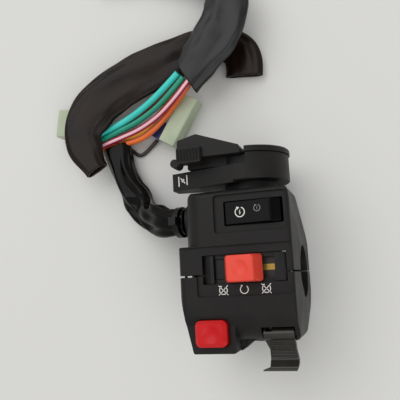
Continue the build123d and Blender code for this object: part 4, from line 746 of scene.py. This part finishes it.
def wire_pvc(name, dark, light, stripe):
    """Glossy wire insulation, with a paler stripe along one side where the wire has one."""
    material, tree = new_material(name)
    place = add(tree, "ShaderNodeTexCoord")
    clouds = add(tree, "ShaderNodeTexNoise", {"Scale": 1 / (wire_patch_mm * MM), "Detail": 2.0},
                 {"Vector": place.outputs["Object"]})
    tone = add(tree, "ShaderNodeValToRGB", links={"Fac": clouds.outputs["Fac"]})
    tone.color_ramp.elements[0].color = linear(dark)
    tone.color_ramp.elements[1].color = linear(light)
    colour = tone.outputs["Color"]
    if stripe:
        turn = add(tree, "ShaderNodeSeparateXYZ", links={"Vector": place.outputs["UV"]})
        band = add(tree, "ShaderNodeMath", {"operation": "COMPARE", 1: stripe_turn, 2: stripe_half_turn},
                   {0: turn.outputs["X"]})
        mixed = add(tree, "ShaderNodeMix", {"data_type": "RGBA", 7: linear(stripe)},
                    {0: band.outputs["Value"], 6: colour})
        colour = mixed.outputs[2]
    shader = add(tree, "ShaderNodeBsdfPrincipled", {"Roughness": 0.28, "IOR": 1.52}, {"Base Color": colour})
    finish_material(tree, shader)
    return material


print("a stripe covers", 2 * stripe_half_turn, "of the way round")

# %% [markdown]
# Each wire is a mesh tube of fourteen sides with closed ends, shaded smooth, and that many sides
# look round at this size. Its colour, its thickness and its route come from the tables, and one
# loop makes all of them and attaches them to the housing. Both ends go back into the object, into
# a sleeve or to a connector.

# %% Wires
wire_sides, wire_step_mm = 14, 0.7
common_wire_mm = 1.4
other_wires_mm = {"turquoise": 1.65, "lead": 0.95}


def wire_tube(name, finish, line, radius):
    """A round wire with closed ends. Its UV map holds the turn round the wire and the ring's number."""
    builder = bmesh.new()
    uv_layer = builder.loops.layers.uv.new("turn")
    rows = []
    for _, centre, direction in stations(line, wire_step_mm):
        side, rise = level_axes(direction)
        rows.append([builder.verts.new(centre + (side * c + rise * s) * radius)
                     for c, s in circle(wire_sides)])
    for i, (low, high) in enumerate(zip(rows, rows[1:])):
        for k, face in enumerate(add_band(builder, low, high)):
            face.smooth = True
            here, after = k / wire_sides, (k + 1) / wire_sides
            for loop, spot in zip(face.loops, ((here, i), (after, i), (after, i + 1), (here, i + 1))):
                loop[uv_layer].uv = spot
    builder.faces.new(rows[0][::-1])
    builder.faces.new(rows[-1])
    bmesh.ops.recalc_face_normals(builder, faces=builder.faces)
    return new_piece(name, builder, finish)


for colour, points in wire_points.items():
    line = smooth_line(points)
    radius = other_wires_mm.get(colour, common_wire_mm) * MM
    # PVC insulation of this wire's colour: a thin bright line of light along a saturated round.
    insulation = wire_pvc(colour + "_wire_pvc", *wire_colours[colour])
    wire = wire_tube("lead_cord" if colour == "lead" else "loose_wire_" + colour, insulation, line, radius)
    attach(wire, "housing")
    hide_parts("lead_right" if colour == "lead" else "wire_" + colour)

# %% [markdown]
# Fine ribs run across the trigger's blade, so that a finger does not slip on it. On the real lever
# they are moulded with it. A bump could fake them, but their outline shows at the edge of the
# blade. Here they are thin bars of the same plastic, sunk into the outer side of the blade by half
# and laid at an even pitch along its bent profile, and they move with the trigger.

# %% Ribs of the trigger
blade_path = [(-24.0, 18.3), (-30.2, 15.6), (-34.4, 15.2), (-38.0, 18.6)]
half_blade_mm, rib_radius_mm, rib_pitch_mm = 1.2, 0.32, 1.05
rib_from_x, rib_to_x = 11.3, 20.9
first_rib_mm, last_rib_mm = 3.6, 12.9
rib_sides = 8

builder = bmesh.new()
walked, rib_at, rib_count = 0.0, first_rib_mm, 0
for (y0, z0), (y1, z1) in zip(blade_path, blade_path[1:]):
    run = Vector((0.0, y1 - y0, z1 - z0))
    along = run.normalized()
    outward = Vector((0.0, along.z, -along.y))
    while rib_at <= min(walked + run.length, last_rib_mm):
        middle = Vector((0.0, y0, z0)) + along * (rib_at - walked) + outward * half_blade_mm
        near, far = add_skin(builder, [
            [(middle + Vector((x, 0.0, 0.0)) + rib_radius_mm * (along * c + outward * s)) * MM
             for c, s in circle(rib_sides)] for x in (rib_from_x, rib_to_x)])
        builder.faces.new(near)
        builder.faces.new(far[::-1])
        rib_at += rib_pitch_mm
        rib_count += 1
    walked += run.length
bmesh.ops.recalc_face_normals(builder, faces=builder.faces)
trigger_ribs = new_piece("trigger_ribs", builder, satin_abs)
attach(trigger_ribs, "trigger")
print("trigger ribs", rib_count, "at a pitch of", rib_pitch_mm, "mm")

# %% [markdown]
# The white signs are pad-printed: a soft pad lays down a film of ink a few hundredths of a
# millimetre thick. They could be painted into a picture and projected, but the edges of small
# shapes would blur. Each sign is therefore drawn as flat shapes in millimetres and laid just above
# its surface, so that it catches the light as ink does.

# %% Ink and flat shapes
# Fresh printing ink: an opaque off-white, matt against the plastic round it.
printed_ink = moulded_plastic("white_printing_ink", "#e4e2dd", "#f2f0ec", roughness=0.5,
                              grain_mm=0.3, grain_depth_mm=0.004)
# Worn printing ink: rubbed thin, so the black under it turns it grey.
faint_ink = moulded_plastic("worn_white_printing_ink", "#77746f", "#98958f", roughness=0.5,
                            grain_mm=0.3, grain_depth_mm=0.004)
ink_lift = 0.04 * MM
merge_distance = 0.001 * MM


def arc_band(radius, width, start_deg, end_deg, steps=28):
    """A band along an arc, as one flat shape for each step."""
    inner, outer = [], []
    for i in range(steps + 1):
        angle = math.radians(start_deg + (end_deg - start_deg) * i / steps)
        inner.append(((radius - width / 2) * math.cos(angle), (radius - width / 2) * math.sin(angle)))
        outer.append(((radius + width / 2) * math.cos(angle), (radius + width / 2) * math.sin(angle)))
    return [[inner[i], inner[i + 1], outer[i + 1], outer[i]] for i in range(steps)]


def bar_shape(x0, y0, x1, y1, width):
    """A straight stroke between two points."""
    run = Vector((x1 - x0, y1 - y0))
    across = Vector((-run.y, run.x)).normalized() * width / 2
    a, b = Vector((x0, y0)), Vector((x1, y1))
    return [[tuple(a - across), tuple(b - across), tuple(b + across), tuple(a + across)]]


def printed_sign(name, shapes, place_mm, right, up, material, body):
    """Flat ink shapes on a surface whose rightward and upward directions are given."""
    right, up = Vector(right).normalized(), Vector(up).normalized()
    out = right.cross(up)
    builder = bmesh.new()
    origin = Vector(place_mm) * MM + out * ink_lift
    for shape in shapes:
        builder.faces.new([builder.verts.new(origin + right * x * MM + up * y * MM) for x, y in shape])
    bmesh.ops.remove_doubles(builder, verts=builder.verts, dist=merge_distance)
    sign = new_piece(name, builder, material)
    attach(sign, body)
    return sign


print("ink lies", round(ink_lift / MM, 2), "mm above its surface")

# %% [markdown]
# Three signs stand under the stop knob, one for each of its places: off, run and off. The sign for
# run is an open circular arrow, and the one for off is the same arrow crossed out, so the second
# is made from the first. They are drawn to a size and keep their proportions.

# %% Signs of the stop switch
def run_sign(size):
    """A circular arrow that is open at the top: the engine may run."""
    shapes = arc_band(size, size * 0.2, 125, 412)
    shapes.append([(-size * 0.85, size * 1.1), (-size * 0.3, size * 1.1), (-size * 0.55, size * 0.6)])
    return shapes


def off_sign(size):
    """The same arrow crossed out: the engine stops."""
    reach = size * 1.2
    stroke = size * 0.17
    return (run_sign(size) + bar_shape(-reach, -reach, reach, reach, stroke)
            + bar_shape(-reach, reach, reach, -reach, stroke))


panel_z, sign_y, stop_sign_mm = 23.0, -6.2, 1.6
for index, (x, kind) in enumerate(((-5.3, off_sign), (3.3, run_sign), (12.2, off_sign))):
    printed_sign(f"stop_switch_sign_{index}", kind(stop_sign_mm), (x, sign_y, panel_z), (1, 0, 0),
                 (0, 1, 0), printed_ink, "housing")
print("stop switch signs", index + 1, "of radius", stop_sign_mm, "mm")

# %% [markdown]
# The rocker's face carries the sign of the starter, a circular arrow round a bolt, and a smaller,
# worn one beside it. The face slopes up to the right, so the height of a sign follows from its
# place along the slope. The signs ride on the rocker and tip with it.

# %% Signs of the rocker
def start_sign(size):
    """A circular arrow round a bolt: the starter motor."""
    bolt = [[(0.12 * size, 0.62 * size), (-0.2 * size, 0.05 * size), (0.05 * size, 0.12 * size)],
            [(-0.2 * size, 0.05 * size), (0.05 * size, 0.12 * size), (0.22 * size, -0.1 * size)],
            [(-0.2 * size, 0.05 * size), (0.22 * size, -0.1 * size), (-0.05 * size, -0.12 * size)],
            [(0.22 * size, -0.1 * size), (-0.05 * size, -0.12 * size), (-0.12 * size, -0.62 * size)]]
    tip = [(-0.75 * size, 1.15 * size), (-0.05 * size, 1.0 * size), (-0.55 * size, 0.5 * size)]
    return arc_band(size, size * 0.2, 125, 430) + [tip] + bolt


rocker_left_x, rocker_left_z = -2.7, 23.4
rocker_right_x, rocker_right_z = 16.4, 25.2
rocker_slope = (rocker_right_z - rocker_left_z) / (rocker_right_x - rocker_left_x)
for name, x, y, size, ink in (("start_sign", 3.7, 24.7, 1.95, printed_ink),
                              ("second_start_sign", 10.9, 25.7, 1.3, faint_ink)):
    height = rocker_left_z + rocker_slope * (x - rocker_left_x)
    printed_sign(name, start_sign(size), (x, y, height), (1, 0, rocker_slope), (0, 1, 0), ink, "starter")
    print(name, "at a height of", round(height, 2), "mm")

# %% [markdown]
# The flat tail of the choke housing carries the choke's sign: a slanted flap between two upright
# walls. It is three strokes and a small lozenge. The tail slopes too, and the sign lies a little
# higher above it than the others do above their surfaces, so that it stays clear of it all along.

# %% Sign of the choke
tail_slope, tail_end_x, tail_end_z = 0.2565, -28.0, 14.0
tail_sign_x, tail_sign_y, tail_sign_lift = -22.6, 41.6, 0.15
choke_shapes = (bar_shape(-2.1, -2.3, -2.1, 2.1, 0.5) + bar_shape(2.1, -2.1, 2.1, 2.3, 0.5)
                + bar_shape(-1.1, 1.3, 1.1, -1.2, 0.45)
                + [[(-0.9, 0.2), (0.3, 0.9), (0.9, 0.2), (-0.3, -0.7)]])
tail_sign_z = tail_end_z + tail_slope * (tail_sign_x - tail_end_x) + tail_sign_lift
choke_sign = printed_sign("choke_sign", choke_shapes, (tail_sign_x, tail_sign_y, tail_sign_z),
                          (1, 0, tail_slope), (0, 1, 0), printed_ink, "housing")
print("choke sign at a height of", round(tail_sign_z, 2), "mm, faces", len(choke_sign.data.polygons))
